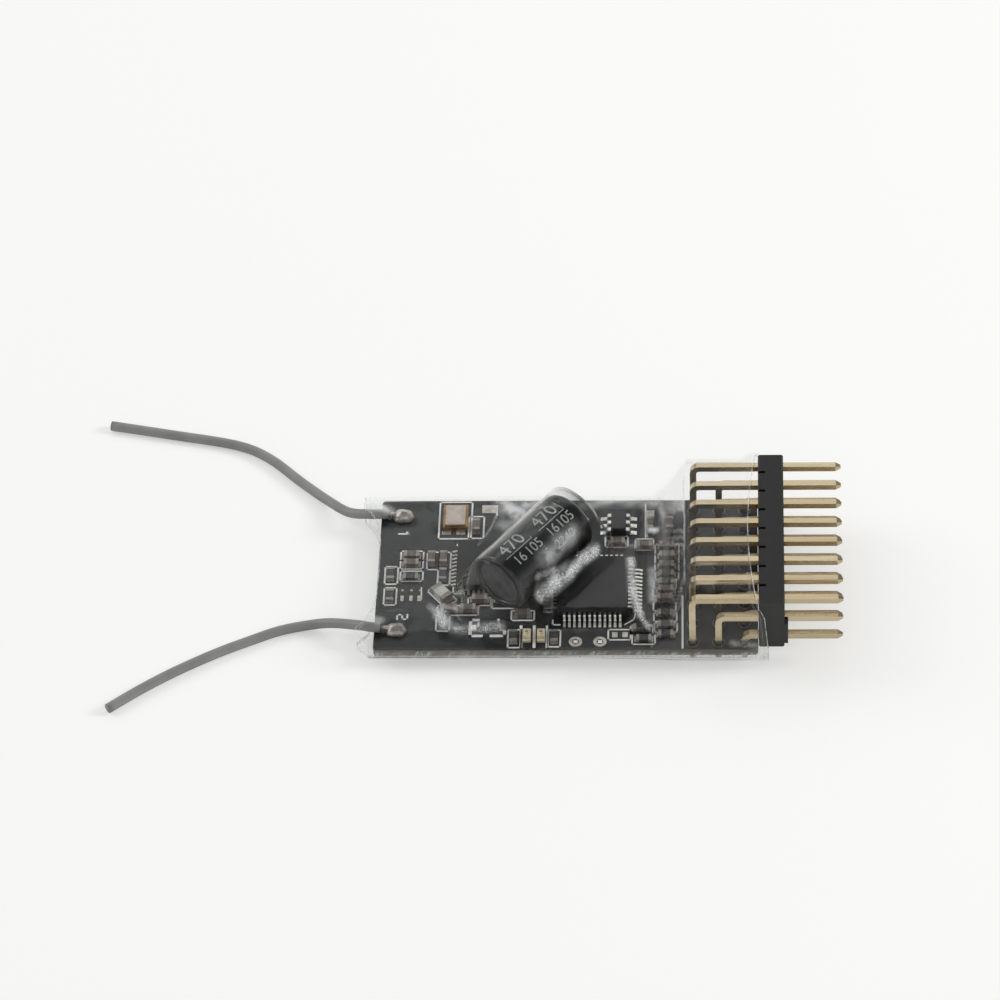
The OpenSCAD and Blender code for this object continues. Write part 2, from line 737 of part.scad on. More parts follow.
circuit_board();
header_block();
pin_solder();
main_controller();
radio_chip();
crystal_base();
crystal_lid();
regulator();
capacitor_can();
capacitor_sleeve();
capacitor_bung();
capacitor_lead(-1);  // capacitor_lead_1
capacitor_lead(1);  // capacitor_lead_2
status_light(1);  // status_light_1
status_light(2);  // status_light_2
band_filter();
diode();
ceramic_capacitors();
chip_resistors();
antenna_joint(joint_a);  // antenna_joint_1
antenna_joint(joint_b);  // antenna_joint_2
antenna_lead(lead_route(joint_a, lead_steps_a));  // antenna_lead_1
antenna_lead(lead_route(joint_b, lead_steps_b));  // antenna_lead_2
heat_shrink_sleeve();
for (row = [0:rows - 1], col = [1:columns])
    header_pin(row, col);
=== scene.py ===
"""Looks of a small radio control receiver that is held in a clear heat-shrink sleeve.

Everything is in metres, in the frame of the CAD model: +X runs towards the pin tips, +Y away
from the edge with the two lights, +Z up from the underside of the sleeve.
"""

import logging
import math
from dataclasses import dataclass, field
from enum import Enum
from typing import Any, Sequence

import bmesh
import bpy
import numpy as np
from mathutils import Matrix, Vector


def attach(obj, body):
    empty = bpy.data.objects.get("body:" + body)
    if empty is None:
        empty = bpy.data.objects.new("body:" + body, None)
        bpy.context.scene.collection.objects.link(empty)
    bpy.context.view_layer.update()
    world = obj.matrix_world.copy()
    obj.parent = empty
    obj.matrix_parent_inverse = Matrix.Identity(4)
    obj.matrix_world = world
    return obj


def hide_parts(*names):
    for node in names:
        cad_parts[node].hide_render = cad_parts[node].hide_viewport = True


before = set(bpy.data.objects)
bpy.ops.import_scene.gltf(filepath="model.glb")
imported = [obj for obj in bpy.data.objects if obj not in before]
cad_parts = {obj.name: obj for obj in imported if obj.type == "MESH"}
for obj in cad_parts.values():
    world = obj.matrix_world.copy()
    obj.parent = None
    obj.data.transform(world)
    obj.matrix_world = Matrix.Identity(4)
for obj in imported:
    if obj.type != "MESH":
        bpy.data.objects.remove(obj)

LOG = logging.getLogger("receiver")
MM = 0.001

Spot = tuple[float, float, float]
Values = dict[Any, Any]
Links = dict[Any, bpy.types.NodeSocket]


def linear(code: str) -> tuple[float, float, float, float]:
    """Turns an sRGB hex colour into linear light.

    Args:
        code: Six hex digits, with or without a leading hash.

    Returns:
        Red, green, blue and alpha, as a shader socket takes them.
    """
    digits = code.lstrip("#")
    shares = [int(digits[i:i + 2], 16) / 255 for i in (0, 2, 4)]
    red, green, blue = (s / 12.92 if s <= 0.04045 else ((s + 0.055) / 1.055) ** 2.4 for s in shares)
    return red, green, blue, 1.0


def add(tree: bpy.types.NodeTree, kind: str, values: Values | None = None,
        links: Links | None = None, **settings: Any) -> bpy.types.Node:
    """Adds a node with its settings and links.

    Args:
        tree: The shader or geometry tree.
        kind: The node's type name.
        values: Default values by socket name or index.
        links: Sockets that feed this node, by its socket name or index.
        **settings: Properties of the node itself.

    Returns:
        The new node.
    """
    node = tree.nodes.new(kind)
    for key, value in settings.items():
        setattr(node, key, value)
    for key, value in (values or {}).items():
        node.inputs[key].default_value = value
    for key, socket in (links or {}).items():
        tree.links.new(socket, node.inputs[key])
    return node


@dataclass(frozen=True)
class Finish:
    """A surface as it is made: colour, gloss, mottling and grain, with sizes in millimetres."""

    name: str
    colour: str
    shade: str
    roughness: float = 0.5
    metallic: float = 0.0
    mottle_mm: float = 1.5
    grain_mm: float = 0.15
    grain_depth_mm: float = 0.0
    rough_spread: float = 0.08
    coat: float = 0.0
    coat_roughness: float = 0.12
    stretch: Spot = (1.0, 1.0, 1.0)

    def noise(self, tree: bpy.types.NodeTree, size_mm: float, detail: float = 3.0) -> bpy.types.Node:
        """Adds object-space noise whose features are about size_mm wide.

        Args:
            tree: The material's node tree.
            size_mm: Width of the features, in millimetres.
            detail: Octaves of the noise.

        Returns:
            The noise node.
        """
        place = add(tree, "ShaderNodeTexCoord")
        drawn = add(tree, "ShaderNodeVectorMath", {1: self.stretch}, {0: place.outputs["Object"]},
                    operation="MULTIPLY")
        return add(tree, "ShaderNodeTexNoise", {"Scale": 1 / (size_mm * MM), "Detail": detail},
                   {"Vector": drawn.outputs[0]})

    def base_colour(self, tree: bpy.types.NodeTree) -> bpy.types.NodeSocket:
        """Mixes the finish's two tones by soft mottling.

        Args:
            tree: The material's node tree.

        Returns:
            The socket that carries the colour.
        """
        mottle = self.noise(tree, self.mottle_mm)
        ramp = add(tree, "ShaderNodeMapRange", {"From Min": 0.35, "From Max": 0.65},
                   {"Value": mottle.outputs["Fac"]})
        mix = add(tree, "ShaderNodeMix", {6: linear(self.colour), 7: linear(self.shade)},
                  {0: ramp.outputs["Result"]}, data_type="RGBA")
        return mix.outputs[2]

    def surface(self, tree: bpy.types.NodeTree) -> bpy.types.NodeSocket:
        """Builds the shader.

        Args:
            tree: The material's node tree.

        Returns:
            The shader socket for the output.
        """
        grain = self.noise(tree, self.grain_mm)
        rough = add(tree, "ShaderNodeMapRange",
                    {"To Min": max(0.02, self.roughness - self.rough_spread),
                     "To Max": min(1.0, self.roughness + self.rough_spread)},
                    {"Value": grain.outputs["Fac"]})
        links = {"Base Color": self.base_colour(tree), "Roughness": rough.outputs["Result"]}
        if self.grain_depth_mm:
            bump = add(tree, "ShaderNodeBump", {"Strength": 1.0, "Distance": self.grain_depth_mm * MM},
                       {"Height": grain.outputs["Fac"]})
            links["Normal"] = bump.outputs["Normal"]
        shader = add(tree, "ShaderNodeBsdfPrincipled",
                     {"Metallic": self.metallic, "Coat Weight": self.coat,
                      "Coat Roughness": self.coat_roughness}, links)
        return shader.outputs["BSDF"]

    def material(self) -> bpy.types.Material:
        """Builds the material once and gives it back on later calls."""
        made = bpy.data.materials.get(self.name)
        if made:
            return made
        made = bpy.data.materials.new(self.name)
        made.use_nodes = True
        made.node_tree.nodes.clear()
        add(made.node_tree, "ShaderNodeOutputMaterial", links={"Surface": self.surface(made.node_tree)})
        return made


@dataclass(frozen=True)
class MaskedBoard(Finish):
    """Solder mask on both faces, and the cut laminate at the edges."""

    edge: str = "#5f5c4e"

    def base_colour(self, tree: bpy.types.NodeTree) -> bpy.types.NodeSocket:
        """Mixes the mask with the laminate's colour where the surface stands upright.

        Args:
            tree: The material's node tree.

        Returns:
            The socket that holds the colour.
        """
        surface = add(tree, "ShaderNodeNewGeometry")
        split = add(tree, "ShaderNodeSeparateXYZ", links={0: surface.outputs["Normal"]})
        flat = add(tree, "ShaderNodeMath", links={0: split.outputs["Z"]}, operation="ABSOLUTE")
        edge = add(tree, "ShaderNodeMath", {1: 0.5}, {0: flat.outputs[0]}, operation="LESS_THAN")
        mix = add(tree, "ShaderNodeMix", {7: linear(self.edge)},
                  {0: edge.outputs[0], 6: super().base_colour(tree)}, data_type="RGBA")
        return mix.outputs[2]


@dataclass(frozen=True)
class PaintedHighlight:
    """A painted highlight on the film, white where the lamps glare and the film reflects: a run between two
    points, in millimetres.
    """

    start: Spot
    end: Spot
    width: float
    strength: float
    # True where the painted highlight gets a fine sparkle
    sparkled: bool = True


# Painted highlights and reflections on the film, each a white run with a soft edge
PAINTED_HIGHLIGHTS = (
    # Painted highlight on the flank of the tent, over the controller
    PaintedHighlight((-5.2, -6.3, 6.25), (-2.8, -3.4, 6.1), 1.6, 1.0),
    PaintedHighlight((-2.8, -3.4, 6.1), (-0.3, -0.4, 5.9), 1.25, 1.0),
    PaintedHighlight((-5.6, -5.7, 7.8), (-4.2, -4.3, 7.2), 0.85, 0.4),
    PaintedHighlight((-4.9, -4.0, 8.7), (-2.4, -0.9, 8.8), 1.9, 0.26, False),
    # Painted reflection on the film over the capacitor's vent end, and on its fold
    PaintedHighlight((-10.9, -5.2, 7.7), (-9.9, -5.9, 7.0), 1.6, 0.28, False),
    PaintedHighlight((-11.7, -4.9, 6.6), (-10.8, -6.6, 5.6), 0.3, 0.3, False),
    # Painted highlight on the fold along the controller's right leads
    PaintedHighlight((3.11, 0.11, 3.96), (3.36, -3.9, 3.94), 0.85, 0.85),
    PaintedHighlight((3.36, -3.9, 3.94), (4.08, -6.64, 3.44), 0.8, 0.8),
    PaintedHighlight((4.08, -6.64, 3.44), (4.87, -7.9, 3.08), 0.6, 0.7),
    PaintedHighlight((5.18, -0.54, 3.2), (5.32, -4.58, 3.2), 0.8, 0.3, False),
    # Painted highlights on the folds beside the filter and over the diode
    PaintedHighlight((-16.56, -5.27, 3.18), (-15.63, -6.19, 3.16), 0.8, 0.7),
    PaintedHighlight((-15.63, -6.19, 3.16), (-14.99, -7.5, 3.12), 1.2, 0.95),
    PaintedHighlight((-14.87, -7.84, 3.08), (-12.57, -8.59, 3.46), 1.0, 0.65),
    PaintedHighlight((-12.57, -8.59, 3.46), (-9.6, -9.1, 4.4), 1.0, 0.5),
    PaintedHighlight((-15.5, -5.2, 3.2), (-12.7, -6.2, 3.3), 0.45, 0.3, False),
    # Painted highlight at the foot of the steep rise to the pins
    PaintedHighlight((8.3, 7.0, 8.4), (8.46, -7.53, 8.88), 0.35, 0.35, False),
    # Painted reflection as a veil on the slope over the right-hand column of small parts
    PaintedHighlight((6.5, 4.5, 4.3), (6.5, -3.0, 4.3), 1.6, 0.14, False),
    # Painted highlights: a line beside the regulator, and the bright strip along the back edge
    PaintedHighlight((4.47, 8.86, 2.96), (4.63, 3.96, 3.18), 0.22, 0.45, False),
    PaintedHighlight((-1.6, 8.8, 3.0), (6.9, 8.8, 3.0), 1.6, 0.3, False),
    PaintedHighlight((5.02, 4.95, 3.2), (5.63, 4.8, 3.2), 0.7, 0.7, False),
    PaintedHighlight((5.9, 8.6, 3.3), (6.6, 5.4, 3.9), 1.0, 0.28, False),
    # Painted reflection: a milky patch between the crystal and the capacitor
    PaintedHighlight((-9.6, 8.6, 3.0), (-8.2, 7.2, 3.1), 2.1, 0.55, False),
    PaintedHighlight((-7.6, 8.8, 2.9), (-4.4, 8.6, 2.9), 1.8, 0.4, False),
    PaintedHighlight((-10.54, 9.6, 2.8), (-10.46, 7.1, 3.14), 0.25, 0.6, False),
    PaintedHighlight((-9.5, 5.6, 3.2), (-8.6, 6.2, 3.2), 1.8, 0.3, False),
    PaintedHighlight((-10.46, 7.1, 3.14), (-11.1, 4.9, 3.26), 0.3, 0.25, False),
    PaintedHighlight((-11.1, 4.9, 3.26), (-12.2, 2.8, 3.36), 0.3, 0.18, False),
    # Painted highlight on the film gathered round the two leads
    PaintedHighlight((-23.4, 8.3, 3.2), (-21.2, 7.7, 3.4), 1.0, 0.5, False),
    PaintedHighlight((-23.0, -6.9, 3.1), (-21.4, -7.4, 3.4), 0.8, 0.4, False),
    # Painted reflection on the film in front of the pins
    PaintedHighlight((13.2, -10.5, 3.4), (15.2, -10.4, 3.0), 0.9, 0.2, False),
)


@dataclass(frozen=True)
class ClearFilm(Finish):
    """Shrunk polyester film: see-through and glossy, with painted white highlights at its rims and folds."""

    tint: str = "#fefefe"
    ior: float = 1.55
    mirror_power: float = 1.8
    mirror_gain: float = 2.6
    wave_mm: float = 2.2
    wave_depth_mm: float = 0.05
    fade_power: float = 1.5
    # Sizes of the sparkle and of the patchiness in the painted highlights
    crackle_mm: float = 0.13
    cloud_mm: float = 1.5
    painted_white_roughness: float = 0.35

    def painted_highlight(self, tree: bpy.types.NodeTree, run: PaintedHighlight) -> bpy.types.NodeSocket:
        """Adds the painted highlight round one run.

        Args:
            tree: The material's node tree.
            run: Its ends, reach and strength.

        Returns:
            The socket with its strength at the shaded point.
        """
        start, end = Vector(run.start) * MM, Vector(run.end) * MM
        along = end - start
        place = add(tree, "ShaderNodeTexCoord")
        away = add(tree, "ShaderNodeVectorMath", {1: start}, {0: place.outputs["Object"]},
                   operation="SUBTRACT")
        dot = add(tree, "ShaderNodeVectorMath", {1: along / along.length_squared}, {0: away.outputs[0]},
                  operation="DOT_PRODUCT")
        share = add(tree, "ShaderNodeClamp", links={0: dot.outputs["Value"]})
        run_to = add(tree, "ShaderNodeVectorMath", {0: along}, {"Scale": share.outputs[0]},
                     operation="SCALE")
        gap = add(tree, "ShaderNodeVectorMath", links={0: away.outputs[0], 1: run_to.outputs[0]},
                  operation="DISTANCE")
        fall = add(tree, "ShaderNodeMapRange", {"From Max": run.width * MM, "To Min": 1.0, "To Max": 0.0},
                   {"Value": gap.outputs["Value"]}, interpolation_type="SMOOTHSTEP")
        peak = add(tree, "ShaderNodeMath", {1: self.fade_power}, {0: fall.outputs["Result"]},
                   operation="POWER")
        return add(tree, "ShaderNodeMath", {1: run.strength}, {0: peak.outputs[0]},
                   operation="MULTIPLY").outputs[0]

    def painted_highlights(self, tree: bpy.types.NodeTree) -> bpy.types.NodeSocket:
        """Joins the painted highlights of the rims' attribute and of every run, with a fine sparkle on the
        sparkled runs.

        Args:
            tree: The material's node tree.

        Returns:
            The socket that holds the share of painted white highlight, 0 to 1.
        """
        # Painted highlight and sheen that the sleeve's mesh carries at its rims and hem
        rims = add(tree, "ShaderNodeAttribute", attribute_name="painted_sheen", attribute_type="GEOMETRY")
        totals = {True: rims.outputs["Fac"], False: None}
        for run in PAINTED_HIGHLIGHTS:
            spot = self.painted_highlight(tree, run)
            if totals[run.sparkled] is not None:
                spot = add(tree, "ShaderNodeMath", links={0: totals[run.sparkled], 1: spot},
                           operation="MAXIMUM").outputs[0]
            totals[run.sparkled] = spot
        crackle = self.noise(tree, self.crackle_mm, 3.0)
        contrast = add(tree, "ShaderNodeMapRange", {"From Min": 0.4, "From Max": 0.66, "To Min": 0.1,
                                                    "To Max": 1.7}, {"Value": crackle.outputs["Fac"]})
        sparkled = add(tree, "ShaderNodeMath", links={0: totals[True], 1: contrast.outputs["Result"]},
                     operation="MULTIPLY", use_clamp=True)
        joined = add(tree, "ShaderNodeMath", links={0: sparkled.outputs[0], 1: totals[False]},
                     operation="MAXIMUM")
        cloud = self.noise(tree, self.cloud_mm, 2.0)
        patchy = add(tree, "ShaderNodeMapRange", {"From Min": 0.36, "From Max": 0.6, "To Min": 0.3,
                                                  "To Max": 1.15}, {"Value": cloud.outputs["Fac"]})
        return add(tree, "ShaderNodeMath", links={0: joined.outputs[0], 1: patchy.outputs["Result"]},
                   operation="MULTIPLY", use_clamp=True).outputs[0]

    def surface(self, tree: bpy.types.NodeTree) -> bpy.types.NodeSocket:
        """Builds the film: gloss that grows with the angle over a clear pass, and painted white highlights.

        Args:
            tree: The material's node tree.

        Returns:
            The socket that holds the shader.
        """
        waves = self.noise(tree, self.wave_mm, 2.0)
        fine = self.noise(tree, self.grain_mm, 4.0)
        low = add(tree, "ShaderNodeBump", {"Strength": 1.0, "Distance": self.wave_depth_mm * MM},
                  {"Height": waves.outputs["Fac"]})
        bump = add(tree, "ShaderNodeBump", {"Strength": 1.0, "Distance": self.grain_depth_mm * MM},
                   {"Height": fine.outputs["Fac"], "Normal": low.outputs["Normal"]})
        facing = add(tree, "ShaderNodeNewGeometry")
        ior = add(tree, "ShaderNodeMapRange", {"To Min": self.ior, "To Max": 1 / self.ior},
                  {"Value": facing.outputs["Backfacing"]})
        fresnel = add(tree, "ShaderNodeFresnel", links={"IOR": ior.outputs["Result"],
                                                        "Normal": bump.outputs["Normal"]})
        power = add(tree, "ShaderNodeMath", {1: self.mirror_power}, {0: fresnel.outputs["Fac"]},
                    operation="POWER")
        mirror = add(tree, "ShaderNodeMath", {1: self.mirror_gain}, {0: power.outputs[0]},
                     operation="MULTIPLY", use_clamp=True)
        gloss = add(tree, "ShaderNodeBsdfGlossy", {"Color": (1, 1, 1, 1), "Roughness": self.roughness},
                    {"Normal": bump.outputs["Normal"]})
        clear = add(tree, "ShaderNodeBsdfTransparent", {"Color": linear(self.tint)})
        skin = add(tree, "ShaderNodeMixShader", links={0: mirror.outputs[0], 1: clear.outputs["BSDF"],
                                                       2: gloss.outputs["BSDF"]})
        # Matt white layer that shows the painted highlights
        painted_white = add(tree, "ShaderNodeBsdfPrincipled", {"Base Color": linear(self.colour),
                                                      "Roughness": self.painted_white_roughness},
                   {"Normal": bump.outputs["Normal"]})
        return add(tree, "ShaderNodeMixShader", links={0: self.painted_highlights(tree), 1: skin.outputs["Shader"],
                                                       2: painted_white.outputs["BSDF"]}).outputs["Shader"]


class Finishes(Enum):
    """Every finish on the receiver."""

    # Black solder mask over copper: satin, with the faint clouding of a sprayed coat
    MASK = MaskedBoard("solder_mask_black", "#191b1c", "#202324", 0.4, mottle_mm=3.0, grain_mm=0.08,
                  grain_depth_mm=0.002, coat=0.15)
    # Screen-printed ink: white, matt and a little worn
    INK = Finish("silkscreen_ink_white", "#f6f7f4", "#dfe1de", 0.6, mottle_mm=0.35, grain_mm=0.1)
    # Hot-air levelled solder: bright, rounded, lumpy
    SOLDER = Finish("solder_bright", "#d9d5cb", "#aca89f", 0.34, 0.7, mottle_mm=0.5, grain_mm=0.35,
                    grain_depth_mm=0.02)
    # Matt tin on chip leads
    TIN = Finish("lead_tin_plate", "#f4f3ee", "#dddcd6", 0.3, 0.95, mottle_mm=0.4, grain_mm=0.1)
    # Glass-filled epoxy moulding compound: dark grey and finely matt
    EPOXY = Finish("chip_epoxy_moulded", "#1d1e1f", "#232425", 0.5, mottle_mm=1.2, grain_mm=0.05,
                   grain_depth_mm=0.004)
    # Gold flash over nickel on square pins
    GOLD = Finish("pin_gold_flash", "#d6c8aa", "#c2b292", 0.24, 1.0, mottle_mm=2.5, grain_mm=0.2,
                  grain_depth_mm=0.022, rough_spread=0.04, stretch=(0.06, 1.0, 1.0))
    # Glass-filled polyester header body: moulded satin black
    HEADER = Finish("header_pbt_moulded", "#0d0e0e", "#131414", 0.42, mottle_mm=0.8, grain_mm=0.09,
                    grain_depth_mm=0.006)
    # Printed shrink skin of the capacitor: glossy black vinyl
    VINYL = Finish("capacitor_vinyl_skin", "#0f1011", "#151617", 0.3, mottle_mm=1.5, grain_mm=0.2,
                   grain_depth_mm=0.002, coat=0.3)
    # Drawn aluminium can, bare at its vent
    ALUMINIUM = Finish("can_aluminium_drawn", "#97989a", "#7f8082", 0.36, 1.0, mottle_mm=0.8,
                       grain_mm=0.12, grain_depth_mm=0.004)
    # Butyl bung
    BUTYL = Finish("bung_butyl_rubber", "#1c1c1c", "#262626", 0.75, grain_depth_mm=0.004)
    # Tinned copper-clad wire
    WIRE = Finish("wire_tinned", "#c8c8c4", "#a5a5a1", 0.3, 1.0)
    # Kovar lid, nickel plated
    LID = Finish("crystal_lid_nickel", "#cbbfb4", "#b9aca1", 0.45, 0.35, mottle_mm=0.6, grain_mm=0.08)
    # Gold ring around the crystal's lid
    RIM = Finish("crystal_rim_gold", "#b3935f", "#8a6d44", 0.38, 0.8)
    # Fired ceramic body of small capacitors, tan
    CERAMIC = Finish("capacitor_ceramic_fired", "#70675e", "#5b544d", 0.45, mottle_mm=0.5)
    # Glazed resistor body
    GLAZE = Finish("resistor_glaze_black", "#3f3f3d", "#323332", 0.35, mottle_mm=0.5)
    # White alumina of the band filter
    ALUMINA = Finish("filter_alumina", "#d9dad2", "#c3c5bc", 0.4, mottle_mm=0.6)
    # Milky lens of a status light
    LENS = Finish("light_lens_milky", "#d8cdb0", "#c8bc9c", 0.35, mottle_mm=0.5)
    # Extruded jacket of an antenna lead: satin grey
    JACKET = Finish("antenna_jacket_grey", "#8f8f8d", "#858583", 0.42, mottle_mm=2.5, grain_mm=0.25,
                    grain_depth_mm=0.004)
    # Thin plating of the holes, dulled by flux
    PLATED = Finish("hole_plating_tin", "#787670", "#5f5d58", 0.45, 0.6, mottle_mm=0.3)
    # Dull tinned ends of the small parts
    ENDS = Finish("chip_end_plate", "#aaa59c", "#8c8880", 0.42, 0.55, mottle_mm=0.3, grain_mm=0.08)
    # Clear shrink film over everything; its colour is the white of its painted highlights
    FILM = ClearFilm("shrink_film_clear", "#eef0f0", "#e4e6e6", 0.07, grain_mm=0.5,
                     grain_depth_mm=0.006)
    # Print on the capacitor
    PRINT = Finish("capacitor_print_grey", "#a9aca9", "#8f9390", 0.5, mottle_mm=0.3)


def publish(name: str, mesh: bpy.types.Mesh, finishes: Sequence[Finishes],
            replaced: Sequence[str] = (), smooth: bool = False) -> bpy.types.Object:
    """Puts a finished mesh in the scene as a piece that rides on the receiver.

    Args:
        name: The piece's name.
        mesh: Its mesh, in metres, in place.
        finishes: Its materials, in the order of its material indices.
        replaced: CAD nodes that the piece stands for.
        smooth: Whether faces are shaded smooth.

    Returns:
        The new object.
    """
    piece = bpy.data.objects.new(name, mesh)
    bpy.context.scene.collection.objects.link(piece)
    if not mesh.materials:
        for finish in finishes:
            mesh.materials.append(finish.value.material())
    if smooth:
        mesh.shade_smooth()
    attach(piece, "root")
    if replaced:
        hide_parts(*replaced)
    LOG.info("%s: %d faces, stands for %s", name, len(mesh.polygons), list(replaced) or "nothing")
    return piece


def add_block(bm: bmesh.types.BMesh, centre: Sequence[float], size: Sequence[float],
              bevel: float = 0.0, turn: float = 0.0, finish: int = 0, taper: float = 0.0) -> None:
    """Adds a block, in millimetres, to a mesh in the making.

    Args:
        bm: The mesh that takes the block.
        centre: Centre of its underside.
        size: Its length, width and height.
        bevel: Width of its bevelled edges.
        turn: Turn about Z, in degrees.
        finish: Its material index.
        taper: How far the top draws in on each side.
    """
    made = bmesh.ops.create_cube(bm, size=1.0)["verts"]
    for v in made:
        top = v.co.z > 0
        v.co.x *= size[0] - (2 * taper if top else 0)
        v.co.y *= size[1] - (2 * taper if top else 0)
        v.co.z = (v.co.z + 0.5) * size[2]
    faces = list({f for v in made for f in v.link_faces})
    if bevel:
        edges = list({e for v in made for e in v.link_edges})
        result = bmesh.ops.bevel(bm, geom=edges, offset=bevel, segments=2, profile=0.6, affect="EDGES")
        faces = list(set(result["faces"]) | {f for f in faces if f.is_valid})
        made = list({v for f in faces for v in f.verts})
    place = Matrix.Translation(Vector(centre)) @ Matrix.Rotation(math.radians(turn), 4, "Z")
    bmesh.ops.transform(bm, matrix=place, verts=made)
    for f in faces:
        f.material_index = finish


def add_ring(bm: bmesh.types.BMesh, centre: Sequence[float], inner: float, outer: float, height: float,
             finish: int = 0, segments: int = 28) -> None:
    """Adds a flat ring, in millimetres, with its foot at centre.

    Args:
        bm: The mesh that takes it.
        centre: Middle of its foot.
        inner: Its inner radius.
        outer: Its outer radius.
        height: How high it stands.
        finish: Its material slot.
        segments: Sides of its circle.
    """
    loops = []
    for radius, level in ((inner, 0.0), (outer, 0.0), (outer, height), (inner, height)):
        loops.append([bm.verts.new((centre[0] + radius * math.cos(2 * math.pi * k / segments),
                                    centre[1] + radius * math.sin(2 * math.pi * k / segments),
                                    centre[2] + level)) for k in range(segments)])
    for a in range(4):
        b = (a + 1) % 4
        for k in range(segments):
            n = (k + 1) % segments
            face = bm.faces.new((loops[a][k], loops[a][n], loops[b][n], loops[b][k]))
            face.material_index = finish


def finished_mesh(name: str, bm: bmesh.types.BMesh) -> bpy.types.Mesh:
    """Scales a mesh in the making from millimetres to metres, turns its faces out and frees it.

    Args:
        name: Name of the mesh.
        bm: The mesh in the making.

    Returns:
        The mesh, in metres.
    """
    bmesh.ops.recalc_face_normals(bm, faces=bm.faces)
    bmesh.ops.scale(bm, vec=(MM, MM, MM), verts=bm.verts)
    mesh = bpy.data.meshes.new(name)
    bm.to_mesh(mesh)
    bm.free()
    return mesh


def grid_mesh(name: str, rings: Sequence[np.ndarray], closed_ends: bool) -> bpy.types.Mesh:
    """Joins rings of points, in millimetres, into a tube.

    Args:
        name: The mesh's name.
        rings: Arrays of points, all of one length, each a closed loop.
        closed_ends: Whether the two ends get a cap.

    Returns:
        The mesh, in metres, with its faces out.
    """
    bm = bmesh.new()
    made = [[bm.verts.new(p) for p in ring] for ring in rings]
    count = len(rings[0])
    for low, high in zip(made, made[1:]):
        for k in range(count):
            n = (k + 1) % count
            bm.faces.new((low[k], low[n], high[n], high[k]))
    if closed_ends:
        bm.faces.new(made[0][::-1])
        bm.faces.new(made[-1])
    return finished_mesh(name, bm)


def evaluated_piece(source: bpy.types.Object, name: str) -> bpy.types.Mesh:
    """Turns an object with live modifiers into a plain mesh and removes the object.

    Args:
        source: The object, which is removed.
        name: Name of the mesh.

    Returns:
        The plain mesh.
    """
    bpy.context.view_layer.update()
    evaluated = source.evaluated_get(bpy.context.evaluated_depsgraph_get())
    mesh = bpy.data.meshes.new_from_object(evaluated)
    mesh.name = name
    bpy.data.objects.remove(source)
    return mesh


@dataclass(frozen=True)
class Layout:
    """Sizes of the board and the header, in millimetres, as the CAD model has them."""

    board_w: float = 20.2
    board_z: float = 1.25
    board_top: float = 2.05
    board_x0: float = -22.15
    board_x1: float = 15.65
    block_x0: float = 15.7
    rows: int = 3
    columns: int = 8
    pitch: float = 2.54
    pin_side: float = 0.64
    pin_inset: float = 1.33
    row_height: float = 1.24
    header_shift: float = -0.3

    def on_board(self, u: float, v: float) -> tuple[float, float]:
        """Turns a place along and across the board into X and Y."""
        return self.board_x0 + u, v - self.board_w / 2

    def column_y(self, col: float) -> float:
        """Y of a pin column, counted from 1."""
        return self.header_shift + (col - (self.columns + 1) / 2) * self.pitch

    def row_x(self, row: int) -> float:
        """X of a row of holes, counted from 0 at the block."""
        return self.board_x1 - self.pin_inset - row * self.pitch

    def row_z(self, row: int) -> float:
        """Z of a row of pins, counted from 0 at the bottom."""
        return self.board_top + self.row_height + row * self.pitch


LAYOUT = Layout()


